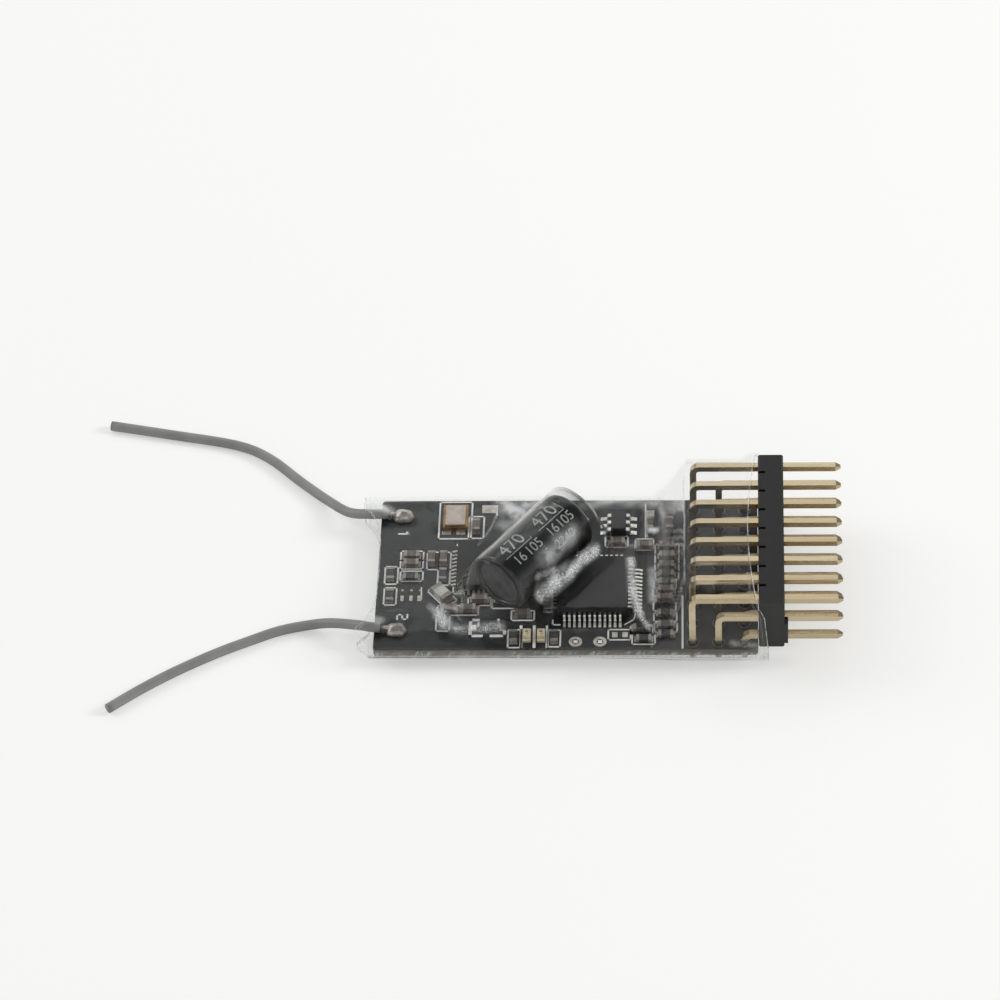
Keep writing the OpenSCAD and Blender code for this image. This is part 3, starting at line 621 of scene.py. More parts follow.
class RowPattern:
    """Geometry Nodes that repeat one small mesh in rows on one, two or four sides of a chip."""

    def __init__(self) -> None:
        """Builds the tree with its named inputs."""
        self.tree = bpy.data.node_groups.new("repeat_round_chip", "GeometryNodeTree")
        face = self.tree.interface
        self.sockets = {}
        face.new_socket("Geometry", in_out="OUTPUT", socket_type="NodeSocketGeometry")
        for name, kind in (("Geometry", "NodeSocketGeometry"), ("Count", "NodeSocketInt"),
                           ("Pitch", "NodeSocketFloat"), ("Reach", "NodeSocketFloat"),
                           ("Centre", "NodeSocketVector"), ("Turn", "NodeSocketFloat"),
                           ("Finish", "NodeSocketMaterial")):
            self.sockets[name] = face.new_socket(name, in_out="INPUT", socket_type=kind).identifier
        tree = self.tree
        start = add(tree, "NodeGroupInput")
        less = add(tree, "ShaderNodeMath", {1: 1.0}, {0: start.outputs["Count"]}, operation="SUBTRACT")
        span = add(tree, "ShaderNodeMath", links={0: less.outputs[0], 1: start.outputs["Pitch"]},
                   operation="MULTIPLY")
        back = add(tree, "ShaderNodeMath", {1: -0.5}, {0: span.outputs[0]}, operation="MULTIPLY")
        first = add(tree, "ShaderNodeCombineXYZ", links={0: start.outputs["Reach"], 1: back.outputs[0]})
        step = add(tree, "ShaderNodeCombineXYZ", links={1: start.outputs["Pitch"]})
        line = add(tree, "GeometryNodeMeshLine", links={"Count": start.outputs["Count"],
                                                        "Start Location": first.outputs[0],
                                                        "Offset": step.outputs[0]})
        spread = add(tree, "GeometryNodeInstanceOnPoints",
                     links={"Points": line.outputs["Mesh"], "Instance": start.outputs["Geometry"]})
        turn = add(tree, "ShaderNodeCombineXYZ", links={2: start.outputs["Turn"]})
        placed = add(tree, "GeometryNodeTransform",
                     links={"Geometry": spread.outputs["Instances"], "Rotation": turn.outputs[0],
                            "Translation": start.outputs["Centre"]})
        real = add(tree, "GeometryNodeRealizeInstances", links={"Geometry": placed.outputs["Geometry"]})
        dressed = add(tree, "GeometryNodeSetMaterial", links={"Geometry": real.outputs["Geometry"],
                                                              "Material": start.outputs["Finish"]})
        add(tree, "NodeGroupOutput", links={0: dressed.outputs["Geometry"]})

    def mesh(self, name: str, base: bpy.types.Mesh, centre: Spot, count: int, pitch: float,
             reach: float, turns: Sequence[float], finish: Finishes) -> bpy.types.Mesh:
        """Repeats a mesh in rows.

        Args:
            name: Name of the result.
            base: The mesh that is repeated, in metres, at the origin, pointing along +X.
            centre: Middle of the chip, in millimetres.
            count: Copies in one row.
            pitch: Distance between copies, in millimetres.
            reach: Distance of the row from the centre, in millimetres.
            turns: Angle of each row about Z, in degrees.
            finish: Material of the copies.

        Returns:
            One plain mesh with all rows.
        """
        bm = bmesh.new()
        for turn in turns:
            carrier = bpy.data.objects.new(name, base)
            bpy.context.scene.collection.objects.link(carrier)
            modifier = carrier.modifiers.new("rows", "NODES")
            modifier.node_group = self.tree
            modifier[self.sockets["Count"]] = count
            modifier[self.sockets["Pitch"]] = pitch * MM
            modifier[self.sockets["Reach"]] = reach * MM
            modifier[self.sockets["Centre"]] = [c * MM for c in centre]
            modifier[self.sockets["Turn"]] = math.radians(turn)
            modifier[self.sockets["Finish"]] = finish.value.material()
            part = evaluated_piece(carrier, name)
            bm.from_mesh(part)
            bpy.data.meshes.remove(part)
        mesh = bpy.data.meshes.new(name)
        bm.to_mesh(mesh)
        bm.free()
        mesh.materials.append(finish.value.material())
        return mesh


class SmallParts:
    """Geometry Nodes that set a soldered two-ended part on each of many marked spots."""

    def __init__(self) -> None:
        """Builds the tree with its named inputs."""
        self.tree = bpy.data.node_groups.new("soldered_small_parts", "GeometryNodeTree")
        face = self.tree.interface
        face.new_socket("Geometry", in_out="OUTPUT", socket_type="NodeSocketGeometry")
        self.sockets = {}
        for name, kind in (("Geometry", "NodeSocketGeometry"), ("Length", "NodeSocketFloat"),
                           ("Width", "NodeSocketFloat"), ("Height", "NodeSocketFloat"),
                           ("End", "NodeSocketFloat"), ("Body", "NodeSocketMaterial"),
                           ("Ends", "NodeSocketMaterial")):
            self.sockets[name] = face.new_socket(name, in_out="INPUT", socket_type=kind).identifier
        tree = self.tree
        start = add(tree, "NodeGroupInput")
        half = self.times(start.outputs["Height"], 0.5)
        waist = add(tree, "ShaderNodeMath", {1: -1.9}, {0: start.outputs["End"], 2: start.outputs["Length"]},
                    operation="MULTIPLY_ADD").outputs[0]
        body = self.dressed_box((waist, self.times(start.outputs["Width"], 0.94),
                                 self.times(start.outputs["Height"], 0.95)),
                                (None, None, half), start.outputs["Body"])
        out = add(tree, "ShaderNodeMath", {1: -0.5}, {0: start.outputs["End"], 2:
                  self.times(start.outputs["Length"], 0.5)}, operation="MULTIPLY_ADD").outputs[0]
        toe = add(tree, "ShaderNodeMath", {1: 0.5}, {0: start.outputs["Length"], 2:
                  self.times(start.outputs["End"], 0.25)}, operation="MULTIPLY_ADD").outputs[0]
        joined = add(tree, "GeometryNodeJoinGeometry", links={0: body})
        for sign in (-1, 1):
            end = self.dressed_box((start.outputs["End"], start.outputs["Width"], start.outputs["Height"]),
                                   (self.times(out, sign), None, half), start.outputs["Ends"])
            foot = self.dressed_box((self.times(start.outputs["End"], 0.7), start.outputs["Width"],
                                     self.times(start.outputs["Height"], 0.35)),
                                    (self.times(toe, sign), None, self.times(start.outputs["Height"], 0.175)),
                                    start.outputs["Ends"])
            tree.links.new(end, joined.inputs[0])
            tree.links.new(foot, joined.inputs[0])
        points = add(tree, "GeometryNodeMeshToPoints", links={"Mesh": start.outputs["Geometry"]})
        turn = add(tree, "GeometryNodeInputNamedAttribute", {"Name": "turn"}, data_type="FLOAT")
        spin = add(tree, "ShaderNodeCombineXYZ", links={2: turn.outputs["Attribute"]})
        seat = add(tree, "FunctionNodeEulerToRotation", links={0: spin.outputs[0]})
        spread = add(tree, "GeometryNodeInstanceOnPoints",
                     links={"Points": points.outputs["Points"], "Instance": joined.outputs[0],
                            "Rotation": seat.outputs[0]})
        real = add(tree, "GeometryNodeRealizeInstances", links={"Geometry": spread.outputs["Instances"]})
        add(tree, "NodeGroupOutput", links={0: real.outputs["Geometry"]})

    def times(self, socket: bpy.types.NodeSocket, factor: float) -> bpy.types.NodeSocket:
        """Multiplies a socket's number by a factor."""
        return add(self.tree, "ShaderNodeMath", {1: factor}, {0: socket}, operation="MULTIPLY").outputs[0]

    def dressed_box(self, size: Sequence[bpy.types.NodeSocket],
                    place: Sequence[bpy.types.NodeSocket | None],
                    finish: bpy.types.NodeSocket) -> bpy.types.NodeSocket:
        """Adds a box with a size, a place and a material, and gives its geometry socket.

        Args:
            size: Its three sides.
            place: Its middle; None stands for zero.
            finish: Its material.

        Returns:
            The socket that holds the box.
        """
        sides = add(self.tree, "ShaderNodeCombineXYZ", links=dict(enumerate(size)))
        where = add(self.tree, "ShaderNodeCombineXYZ",
                    links={i: s for i, s in enumerate(place) if s is not None})
        cube = add(self.tree, "GeometryNodeMeshCube", links={"Size": sides.outputs[0]})
        moved = add(self.tree, "GeometryNodeTransform", links={"Geometry": cube.outputs["Mesh"],
                                                               "Translation": where.outputs[0]})
        return add(self.tree, "GeometryNodeSetMaterial",
                   links={"Geometry": moved.outputs["Geometry"], "Material": finish}).outputs["Geometry"]

    def build(self, name: str, spots: Sequence[Spot], size: Spot, end: float, body: Finishes,
              slot: str, replaced: Sequence[str]) -> bpy.types.Object:
        """Sets one kind of part on its spots.

        Args:
            name: Name of the piece.
            spots: Place along and across the board, and turn in degrees, of each part.
            size: Length, width and height of a part, in millimetres.
            end: Length of a metal end.
            body: Finish between the ends.
            slot: Not used.
            replaced: CAD nodes that the piece stands for.

        Returns:
            The piece.
        """
        carrier_mesh = bpy.data.meshes.new(name)
        places = [(*LAYOUT.on_board(u, v), LAYOUT.board_top + 0.004) for u, v, _ in spots]
        carrier_mesh.from_pydata([[c * MM for c in p] for p in places], [], [])
        turns = carrier_mesh.attributes.new("turn", "FLOAT", "POINT")
        turns.data.foreach_set("value", [math.radians(s[2]) for s in spots])
        carrier = bpy.data.objects.new(name, carrier_mesh)
        bpy.context.scene.collection.objects.link(carrier)
        modifier = carrier.modifiers.new("parts", "NODES")
        modifier.node_group = self.tree
        for key, value in zip(("Length", "Width", "Height", "End"), (*size, end)):
            modifier[self.sockets[key]] = value * MM
        modifier[self.sockets["Body"]] = body.value.material()
        modifier[self.sockets["Ends"]] = Finishes.ENDS.value.material()
        return publish(name, evaluated_piece(carrier, name), (), replaced)


@dataclass
class Studio:
    """Floor, lamps and the camera, which stands where the photograph's camera stood."""

    lens_mm: float = 168.81
    distance: float = 473.64
    elevation: float = 46.29
    yaw: float = -4.33
    roll: float = -3.35
    target: Spot = (-10.3045, 10.2155, 2.05)
    floor_size: float = 3000.0
    floor_colour: str = "#fafaf8"
    glow_colour: str = "#fbfbf9"
    glow: float = 1.13
    glow_share: float = 0.4
    world_colour: str = "#f8f8f7"
    world_strength: float = 0.42
    mirrored_zenith: float = 0.14
    mirrored_horizon: float = 0.85

    def build(self) -> None:
        """Makes the camera, the floor and the lamps."""
        self.camera()
        self.floor()
        self.lamps()

    def camera(self) -> None:
        """Places the camera from the fitted view."""
        el, yaw, roll = (math.radians(a) for a in (self.elevation, self.yaw, self.roll))
        ahead = Vector((math.sin(yaw) * math.cos(el), math.cos(yaw) * math.cos(el), -math.sin(el)))
        right = Vector((math.cos(yaw), -math.sin(yaw), 0.0))
        up = right.cross(ahead)
        turned_right = math.cos(roll) * right + math.sin(roll) * up
        turned_up = -math.sin(roll) * right + math.cos(roll) * up
        data = bpy.data.cameras.new("camera")
        data.sensor_width = 36.0
        data.lens = self.lens_mm
        data.clip_start = 0.01
        data.clip_end = 20.0
        data.dof.use_dof = False
        camera = bpy.data.objects.new("camera", data)
        bpy.context.scene.collection.objects.link(camera)
        axes = Matrix((turned_right, turned_up, -ahead)).transposed().to_4x4()
        spot = (Vector(self.target) - ahead * self.distance) * MM
        camera.matrix_world = Matrix.Translation(spot) @ axes
        bpy.context.scene.camera = camera

    def floor(self) -> None:
        """Lays the pale floor under the sleeve."""
        half = self.floor_size / 2
        mesh = bpy.data.meshes.new("floor")
        corners = [(-half, -half), (half, -half), (half, half), (-half, half)]
        mesh.from_pydata([(x * MM, y * MM, -0.02 * MM) for x, y in corners], [], [(0, 1, 2, 3)])
        floor = bpy.data.objects.new("floor", mesh)
        bpy.context.scene.collection.objects.link(floor)
        paper = bpy.data.materials.new("floor_paper_white")
        paper.use_nodes = True
        tree = paper.node_tree
        tree.nodes.clear()
        matt = add(tree, "ShaderNodeBsdfDiffuse", {"Color": linear(self.floor_colour)})
        glow = add(tree, "ShaderNodeEmission", {"Color": linear(self.glow_colour), "Strength": self.glow})
        path = add(tree, "ShaderNodeLightPath")
        share = add(tree, "ShaderNodeMath", {1: self.glow_share}, {0: path.outputs["Is Camera Ray"]},
                    operation="MULTIPLY")
        mix = add(tree, "ShaderNodeMixShader", links={0: share.outputs[0], 1: matt.outputs["BSDF"],
                                                      2: glow.outputs["Emission"]})
        add(tree, "ShaderNodeOutputMaterial", links={"Surface": mix.outputs["Shader"]})
        mesh.materials.append(paper)

    def lamp(self, name: str, toward: Spot, distance: float, size: Sequence[float], power: float,
             mirrored: bool = True) -> None:
        """Hangs a soft box that faces the receiver.

        Args:
            name: Its name.
            toward: Direction from the receiver to the lamp.
            distance: How far away it hangs, in millimetres.
            size: Its width and height, in millimetres.
            power: Its power in watts.
            mirrored: Whether glossy surfaces mirror it.
        """
        data = bpy.data.lights.new(name, "AREA")
        data.shape = "RECTANGLE"
        data.size, data.size_y = (s * MM for s in size)
        data.energy = power
        lamp = bpy.data.objects.new(name, data)
        bpy.context.scene.collection.objects.link(lamp)
        lamp.visible_glossy = mirrored
        away = Vector(toward).normalized()
        turn = away.to_track_quat("Z", "Y").to_matrix().to_4x4()
        lamp.matrix_world = Matrix.Translation(away * distance * MM) @ turn

    def lamps(self) -> None:
        """Sets the world and the soft boxes."""
        world = bpy.data.worlds.new("studio")
        world.use_nodes = True
        world.node_tree.nodes.clear()
        path = add(world.node_tree, "ShaderNodeLightPath")
        ray = add(world.node_tree, "ShaderNodeTexCoord")
        split = add(world.node_tree, "ShaderNodeSeparateXYZ", links={0: ray.outputs["Object"]})
        mirrored = add(world.node_tree, "ShaderNodeMapRange",
                       {"From Min": 0.1, "From Max": 0.62, "To Min": self.mirrored_horizon,
                        "To Max": self.mirrored_zenith}, {"Value": split.outputs["Z"]})
        strength = add(world.node_tree, "ShaderNodeMix", {2: self.world_strength},
                       {0: path.outputs["Is Glossy Ray"], 3: mirrored.outputs["Result"]})
        sky = add(world.node_tree, "ShaderNodeBackground", {"Color": linear(self.world_colour)},
                  {"Strength": strength.outputs[0]})
        add(world.node_tree, "ShaderNodeOutputWorld", links={"Surface": sky.outputs["Background"]})
        bpy.context.scene.world = world
        bpy.context.scene.view_settings.view_transform = "Standard"
        self.lamp("key_right", (0.86, 0.1, 0.5), 700, (190, 220), 2.4, mirrored=False)
        self.lamp("fill_left", (-0.8, 0.25, 0.55), 800, (400, 400), 1.6)
        self.lamp("back_panel", (-0.05, 0.69, 0.72), 900, (900, 420), 1.1)
        self.lamp("front", (0.1, -0.75, 0.66), 900, (500, 300), 0.5)


@dataclass(frozen=True)
class Rest:
    """A part that the film lies on: its middle, plan size and height, and the slope around it."""

    x: float
    y: float
    length: float
    width: float
    height: float
    slope: float


@dataclass
class Film:
    """Shape of the clear sleeve, from the same rules as the CAD model, with finer relief."""

    wall: float = 0.2
    gap: float = 0.1
    flare: float = 1.75
    notch: float = 1.9
    sag: float = 0.9
    wrap: float = 1.1
    ramp: float = 4.6
    cap_len: float = 11.0
    cap_r: float = 3.15
    cap_z: float = 6.75
    flank: float = math.radians(66)
    margin: float = 0.3
    rest_gap: float = 0.22
    over_small: float = 0.95
    cap_turn: float = 51.5
    tent_inset: float = 0.5
    tent_gap: float = 0.07
    half_block: float = 10.39
    over_pin_gap: float = 0.33
    beside_pin_gap: float = 0.4
    before_pin_gap: float = 0.35
    lean_back: float = 2.0
    lean_run: float = 1.6
    end_lift: float = 0.75
    end_run: float = 4.0
    tuck_end: float = 2.2
    tuck_loss: float = 1.35
    hem_bulge: float = 0.035
    rings: int = 190
    across: int = 120
    under: int = 40
    hem_rows: int = 5

    def __post_init__(self) -> None:
        """Derives the sleeve's own measures."""
        lay = LAYOUT
        self.half_board = lay.board_w / 2 + self.gap
        self.over_pins = lay.row_z(2) + lay.pin_side / 2 + self.over_pin_gap - lay.board_top
        self.pins_half = ((lay.columns - 1) * lay.pitch / 2 + lay.pin_side / 2 + self.gap
                          + self.beside_pin_gap)
        self.rests = [Rest(*lay.on_board(21.5, 7.8), 7.0, 7.0, 1.5, 1.9),
                      Rest(*lay.on_board(10.9, 10.9), 6.0, 6.0, 0.9, 1.5),
                      Rest(*lay.on_board(23.9, 16.6), 1.6, 2.9, 1.2, 1.8),
                      Rest(*lay.on_board(11.3, 2.9), 1.8, 1.25, 0.95, 1.2),
                      Rest(*lay.on_board(7.5, 17.6), 2.5, 3.2, 1.0, 1.2),
                      Rest(*lay.on_board(1.1, 17.9), 3.3, 1.6, 1.05, 1.4),
                      Rest(*lay.on_board(1.1, 2.5), 3.3, 1.6, 1.05, 1.4)]
        self.ramp_x0 = lay.row_x(2) - lay.pin_side / 2 - self.before_pin_gap - self.ramp
        self.x0 = lay.board_x0 - self.flare
        self.x1 = lay.block_x0 - self.gap
        turn = math.radians(self.cap_turn)
        self.cap_dir = np.array([math.cos(turn), math.sin(turn)])
        middle = np.array(lay.on_board(15.8, 8.9))
        self.cap_end = middle - self.cap_dir * self.cap_len / 2

    @staticmethod
    def ease(t: np.ndarray) -> np.ndarray:
        """Smooth step from 0 to 1."""
        c = np.clip(t, 0, 1)
        return c * c * (3 - 2 * c)

    @staticmethod
    def hood(t: np.ndarray, n: float, root: float) -> np.ndarray:
        """Rounded profile across the sleeve, 1 in the middle and 0 at its sides."""
        return np.maximum(0, 1 - np.minimum(1, np.abs(t)) ** n) ** (1 / root)

    def half(self, x: np.ndarray) -> np.ndarray:
        """Half width of the sleeve's inside at x."""
        eased = self.ease((x - self.ramp_x0) / self.ramp)
        return self.half_board + (self.half_block - self.half_board) * eased

    def climb(self, x: np.ndarray) -> np.ndarray:
        """Share of the climb from the board to the pins: slow at first, then steep."""
        return np.clip((x - self.ramp_x0) / self.ramp, 0, 1) ** 2

    def wall_y(self, x: np.ndarray, y: np.ndarray, rise: np.ndarray) -> np.ndarray:
        """Y on a side wall, which leans in towards the outer pins and out again at the block.

        Args:
            x: Places along the sleeve.
            y: Places across it, before the lean.
            rise: Heights of the inside above the board.

        Returns:
            Places across the sleeve after the lean.
        """
        back = self.ease((x - self.x1 + self.lean_back) / self.lean_run)
        lean = self.climb(x) * (1 - back) * rise / self.over_pins
        leaning = LAYOUT.header_shift + y * self.pins_half / self.half_block
        return y + (leaning - y) * np.clip(lean, 0, 1)

    def lift(self, x: np.ndarray, y: np.ndarray, rest: Rest) -> np.ndarray:
        """Height that one taller part adds to the sleeve over the small parts.

        Args:
            x: Places along the sleeve.
            y: Places across it.
            rest: The part that the film lies on.

        Returns:
            The added heights.
        """
        past_x = np.maximum(0, np.abs(x - rest.x) - rest.length / 2 - self.margin)
        past_y = np.maximum(0, np.abs(y - rest.y) - rest.width / 2 - self.margin)
        reach = np.hypot(past_x, past_y) / rest.slope
        return max(0.0, rest.height + self.rest_gap - self.over_small) * (1 - self.ease(reach))

    def tent(self, x: np.ndarray, y: np.ndarray) -> np.ndarray:
        """Height of the tent over the capacitor: round on top, straight down its flanks and ends.

        Args:
            x: Places along the sleeve.
            y: Places across it.

        Returns:
            The heights above the board, 0 beside the tent.
        """
        vx, vy = x - self.cap_end[0], y - self.cap_end[1]
        along = vx * self.cap_dir[0] + vy * self.cap_dir[1]
        w = np.abs(vx * self.cap_dir[1] - vy * self.cap_dir[0])
        past = np.where(along < 0, -along, along - self.cap_len) - self.tent_inset
        radius = self.cap_r + self.tent_gap
        turn_w = radius * math.sin(self.flank)
        top = np.sqrt(radius ** 2 - np.minimum(w, turn_w) ** 2)
        fall = np.maximum(0, w - turn_w) + 1.1 * (np.sqrt(np.maximum(0, past) ** 2 + 0.16) - 0.4)
        return np.maximum(0, self.cap_z - LAYOUT.board_top + top - fall * math.tan(self.flank))

    def rise(self, x: np.ndarray, y: np.ndarray) -> np.ndarray:
        """Height of the inside above the board: parts, capacitor tent and header together.

        Args:
            x: Places along the sleeve.
            y: Places across it.

        Returns:
            The heights.
        """
        side = y / self.half(x)
        lift = np.maximum.reduce([self.lift(x, y, rest) for rest in self.rests])
        parts = (self.over_small + lift) * self.hood(side, 6, 2)
        pins = self.over_pins * self.climb(x) * self.hood(side, 14, 14)
        tent = self.tent(x, y) * self.hood(side, 8, 8)
        return (parts ** 4 + pins ** 4 + tent ** 4) ** 0.25

    def floor(self, x: np.ndarray) -> np.ndarray:
        """Height of the underside, which draws in towards the board's end."""
        return self.end_lift * (1 - self.ease((x - self.x0) / self.end_run))

    def tuck(self, x: np.ndarray) -> np.ndarray:
        """Width by which the underside tucks in."""
        along = (x - LAYOUT.board_x0) / (self.ramp_x0 - LAYOUT.board_x0)
        return self.tuck_end - self.tuck_loss * self.ease(along)

    def edge_left(self, t: np.ndarray) -> np.ndarray:
        """X of the free edge at the antenna end."""
        drawn = np.maximum(0, 1 - (np.abs(t) / 0.78) ** 4) ** 0.8
        return self.x0 + self.notch * (drawn + 0.7 * self.ease((-t - 0.82) / 0.18))

    def edge_right(self, t: np.ndarray, high: bool) -> np.ndarray:
        """X of the free edge at the header, on top or at the sides and below."""
        return self.x1 - self.sag * (1 - t * t) if high else np.full_like(t, self.x1 + self.wrap)

    def ripple(self, x: np.ndarray, y: np.ndarray) -> np.ndarray:
        """Fixed shallow wrinkles, within 0.05 mm.

        Args:
            x: Places along the sleeve.
            y: Places across it.

        Returns:
            What the wrinkles add to the height.
        """
        waves = ((1.9, 0.7, 0.4, 0.016), (-0.8, 2.3, 1.7, 0.014), (3.4, -2.6, 2.9, 0.009),
                 (4.9, 3.7, 0.8, 0.006))
        return sum(a * np.sin(fx * x + fy * y + p) for fx, fy, p, a in waves)

    def rim(self, x: np.ndarray, left: np.ndarray, right: np.ndarray) -> np.ndarray:
        """Painted highlight along the two cut rims: a bright line, and a faint one behind it."""
        away = np.minimum(np.abs(x - left), np.abs(right - x))
        return 0.5 * (away < 0.08) + 0.12 * ((away > 0.4) & (away < 0.5))

    def ring(self, u: float, grow: float) -> tuple[np.ndarray, np.ndarray]:
        """One loop of points round the sleeve: top, front hem, underside and back hem.

        Args:
            u: Share of the sleeve's length.
            grow: How far the loop lies outside the inner face.

        Returns:
            The points, and the painted highlight at each.
        """
        lay = LAYOUT
        c = np.cos(np.pi * np.arange(self.across + 1) / self.across)
        inside = np.abs(c) < 0.9999
        near = np.clip((1 - np.abs(c)) / 0.02, 0, 1) ** 0.25
        left = self.edge_left(c)
        right = self.edge_right(c, False) * (1 - near) + self.edge_right(c, True) * near
        x = left + (right - left) * u
        half = self.half(x)
        rise = np.where(inside, self.rise(x, c * half), 0.0)
        y = self.wall_y(x, c * half, rise) + c * grow
        z = lay.board_top + rise + np.where(inside, grow + self.ripple(x, y) * self.hood(c, 8, 8), 0.0)
        top = np.stack([x, y, z], 1)
        painted_sheen_top = self.rim(x, left, right)
        t = np.linspace(-1, 1, self.under + 1)
        left, right = self.edge_left(t), self.edge_right(t, False)
        xb = left + (right - left) * u
        half_b = self.half(xb)
        flat = half_b - self.tuck(xb)
        low_edge = (lay.board_z - self.gap) * 0.7 + lay.board_z * 0.3
        low = self.wall - grow + self.floor(xb)
        zb = low + (low_edge - low) * np.clip((np.abs(t) * half_b - flat) / (half_b - flat), 0, 1)
        bottom = np.stack([xb, t * (half_b + grow), zb], 1)
        painted_sheen_low = self.rim(xb, left, right)
        front, painted_sheen_front = self.hem(top[-1], bottom[0], 1.0)
        back, painted_sheen_back = self.hem(bottom[-1], top[0], 0.15)
        return (np.concatenate([top, front, bottom, back]),
                np.concatenate([painted_sheen_top, painted_sheen_front, painted_sheen_low, painted_sheen_back]))

    def hem(self, a: np.ndarray, b: np.ndarray, strength: float) -> tuple[np.ndarray, np.ndarray]:
        """Crumpled points between the top's and the underside's side edges.

        Args:
            a: The first edge point.
            b: The second edge point.
            strength: How strong the hem's painted sheen is.

        Returns:
            The points between them, and their painted sheen.
        """
        share = np.linspace(0, 1, self.hem_rows + 2)[1:-1]
        points = a + (b - a) * share[:, None]
        x = points[0, 0]
        fold = np.sin(8.4 * x + 1.6 * math.sin(2.9 * x) + 4.4 * share)
        weave = np.sin(17.0 * x - 5.1 * share + 2.2 * math.sin(1.7 * x))
        points[:, 1] -= np.sign(points[:, 1]) * self.hem_bulge * (1 + fold)
        # Painted sheen on the crumpled hem, in stripes that follow its folds
        beside = strength * float(self.ease(np.array((x - LAYOUT.board_x0 + 0.3) / 0.6)))
        return points, beside * np.clip(0.18 + 0.22 * fold + 0.14 * weave, 0.0, 0.7)

    def build(self) -> bpy.types.Object:
        """Builds the sleeve as one closed shell with an attribute of painted highlight and sheen at its rims
        and hem.
        """
        length = self.x1 - self.x0
        rim = np.array([0.0, 0.05, 0.11, 0.17, 0.36, 0.42, 0.58, 0.64]) / length
        shares = np.concatenate([rim, np.linspace(0.9, length - 0.9, self.rings) / length, 1 - rim[::-1]])
        inner, outer = ([self.ring(u, g) for u in shares] for g in (0.0, self.wall))
        points = np.concatenate([p for p, _ in inner] + [p for p, _ in outer]) * MM
        painted_sheen = np.concatenate([h for _, h in inner] + [h for _, h in outer])
        count = len(inner[0][0])
        shift = count * len(shares)
        k = np.arange(count)
        n = (k + 1) % count
        faces = []
        for i in range(len(shares) - 1):
            a = i * count
            faces += np.stack([a + k, a + n, a + count + n, a + count + k], 1).tolist()
            faces += np.stack([shift + a + k, shift + a + count + k, shift + a + count + n,
                               shift + a + n], 1).tolist()
        last = (len(shares) - 1) * count
        faces += np.stack([k, shift + k, shift + n, n], 1).tolist()
        faces += np.stack([last + k, last + n, last + shift + n, last + shift + k], 1).tolist()
        mesh = bpy.data.meshes.new("clear_sleeve")
        mesh.from_pydata(points.tolist(), [], faces)
        mesh.attributes.new("painted_sheen", "FLOAT", "POINT").data.foreach_set("value", painted_sheen)
        return publish("clear_sleeve", mesh, [Finishes.FILM], ["heat_shrink_sleeve"], True)


@dataclass
class AntennaLead:
    """A grey antenna lead with its soldered, tinned end.

    Args:
        number: 1 for the lead at the far side, 2 for the near one.
        joint: X and Y of the solder joint's middle, and how far in from the board's end it lies.
        steps: Steps along and across the board, and the share of the height.
    """

    number: int
    joint: Spot
    steps: Sequence[Spot]
    diameter: float = 1.0
    lead_z: float = 2.6
    inset: float = 0.65
    sides: int = 24

    def __post_init__(self) -> None:
        """Turns the steps into the points that the lead goes through."""
        ground = self.diameter / 2
        self.points = [Vector((LAYOUT.board_x0 + self.inset + a, self.joint[1] + b,
                               ground + s * (self.lead_z - ground))) for a, b, s in self.steps]

    def route(self, per_span: int = 4) -> list[Vector]:
        """Smooth points through the chosen ones.

        Args:
            per_span: Points between each two chosen points.

        Returns:
            The route in millimetres.
        """
        p = self.points
        slopes = [(p[min(i + 1, len(p) - 1)] - p[max(i - 1, 0)]) / 6 for i in range(len(p))]
        result = []
        for i in range(len(p) - 1):
            a, b, c, d = p[i], p[i] + slopes[i], p[i + 1] - slopes[i + 1], p[i + 1]
            for s in range(per_span):
                t = s / per_span
                near = (1 - t) ** 3 * a + 3 * (1 - t) ** 2 * t * b
                result.append(near + 3 * (1 - t) * t * t * c + t ** 3 * d)
        return result + [p[-1]]

    def build(self) -> None:
        """Builds the jacket as a tube, its cut core and the solder joint."""
        route = self.route()
        rings = []
        for i, point in enumerate(route):
            along = (route[min(i + 1, len(route) - 1)] - route[max(i - 1, 0)]).normalized()
            side = along.cross(Vector((0, 0, 1))).normalized()
            up = side.cross(along)
            angles = [2 * math.pi * k / self.sides for k in range(self.sides)]
            rings.append(np.array([point + self.diameter / 2 * (math.cos(a) * side + math.sin(a) * up)
                                   for a in angles]))
        mesh = grid_mesh(f"antenna_jacket_{self.number}", rings, True)
        jacket = publish(f"antenna_jacket_{self.number}", mesh, [Finishes.JACKET],
                         [f"antenna_lead_{self.number}"], True)
        self.solder()

    def solder(self) -> None:
        """Builds the lumpy solder joint over the tinned core."""
        bm = bmesh.new()
        bmesh.ops.create_uvsphere(bm, u_segments=40, v_segments=20, radius=1.0)
        for v in bm.verts:
            a, b, c = v.co
            lump = 1 + 0.05 * math.sin(5 * a + self.number) * math.cos(4 * b) + 0.03 * math.sin(9 * b + 2)
            v.co = Vector((1.1 * a * lump, 0.8 * b * lump, max(0.0, 0.9 * c * lump)))
        bmesh.ops.remove_doubles(bm, verts=bm.verts, dist=1e-5)
        bmesh.ops.translate(bm, vec=(self.joint[0], self.joint[1], LAYOUT.board_top), verts=bm.verts)
        start = LAYOUT.board_x0 + self.inset
        core = bmesh.ops.create_cone(bm, cap_ends=True, segments=16, radius1=0.2, radius2=0.2,
                                     depth=self.joint[0] - start - 0.02)["verts"]
        place = Matrix.Translation(((self.joint[0] + start) / 2 + 0.01, self.joint[1], self.lead_z))
        bmesh.ops.transform(bm, matrix=place @ Matrix.Rotation(math.pi / 2, 4, "Y"), verts=core)
        name = f"antenna_solder_{self.number}"
        publish(name, finished_mesh(name, bm), [Finishes.SOLDER],
                [f"antenna_joint_{self.number}"], True)


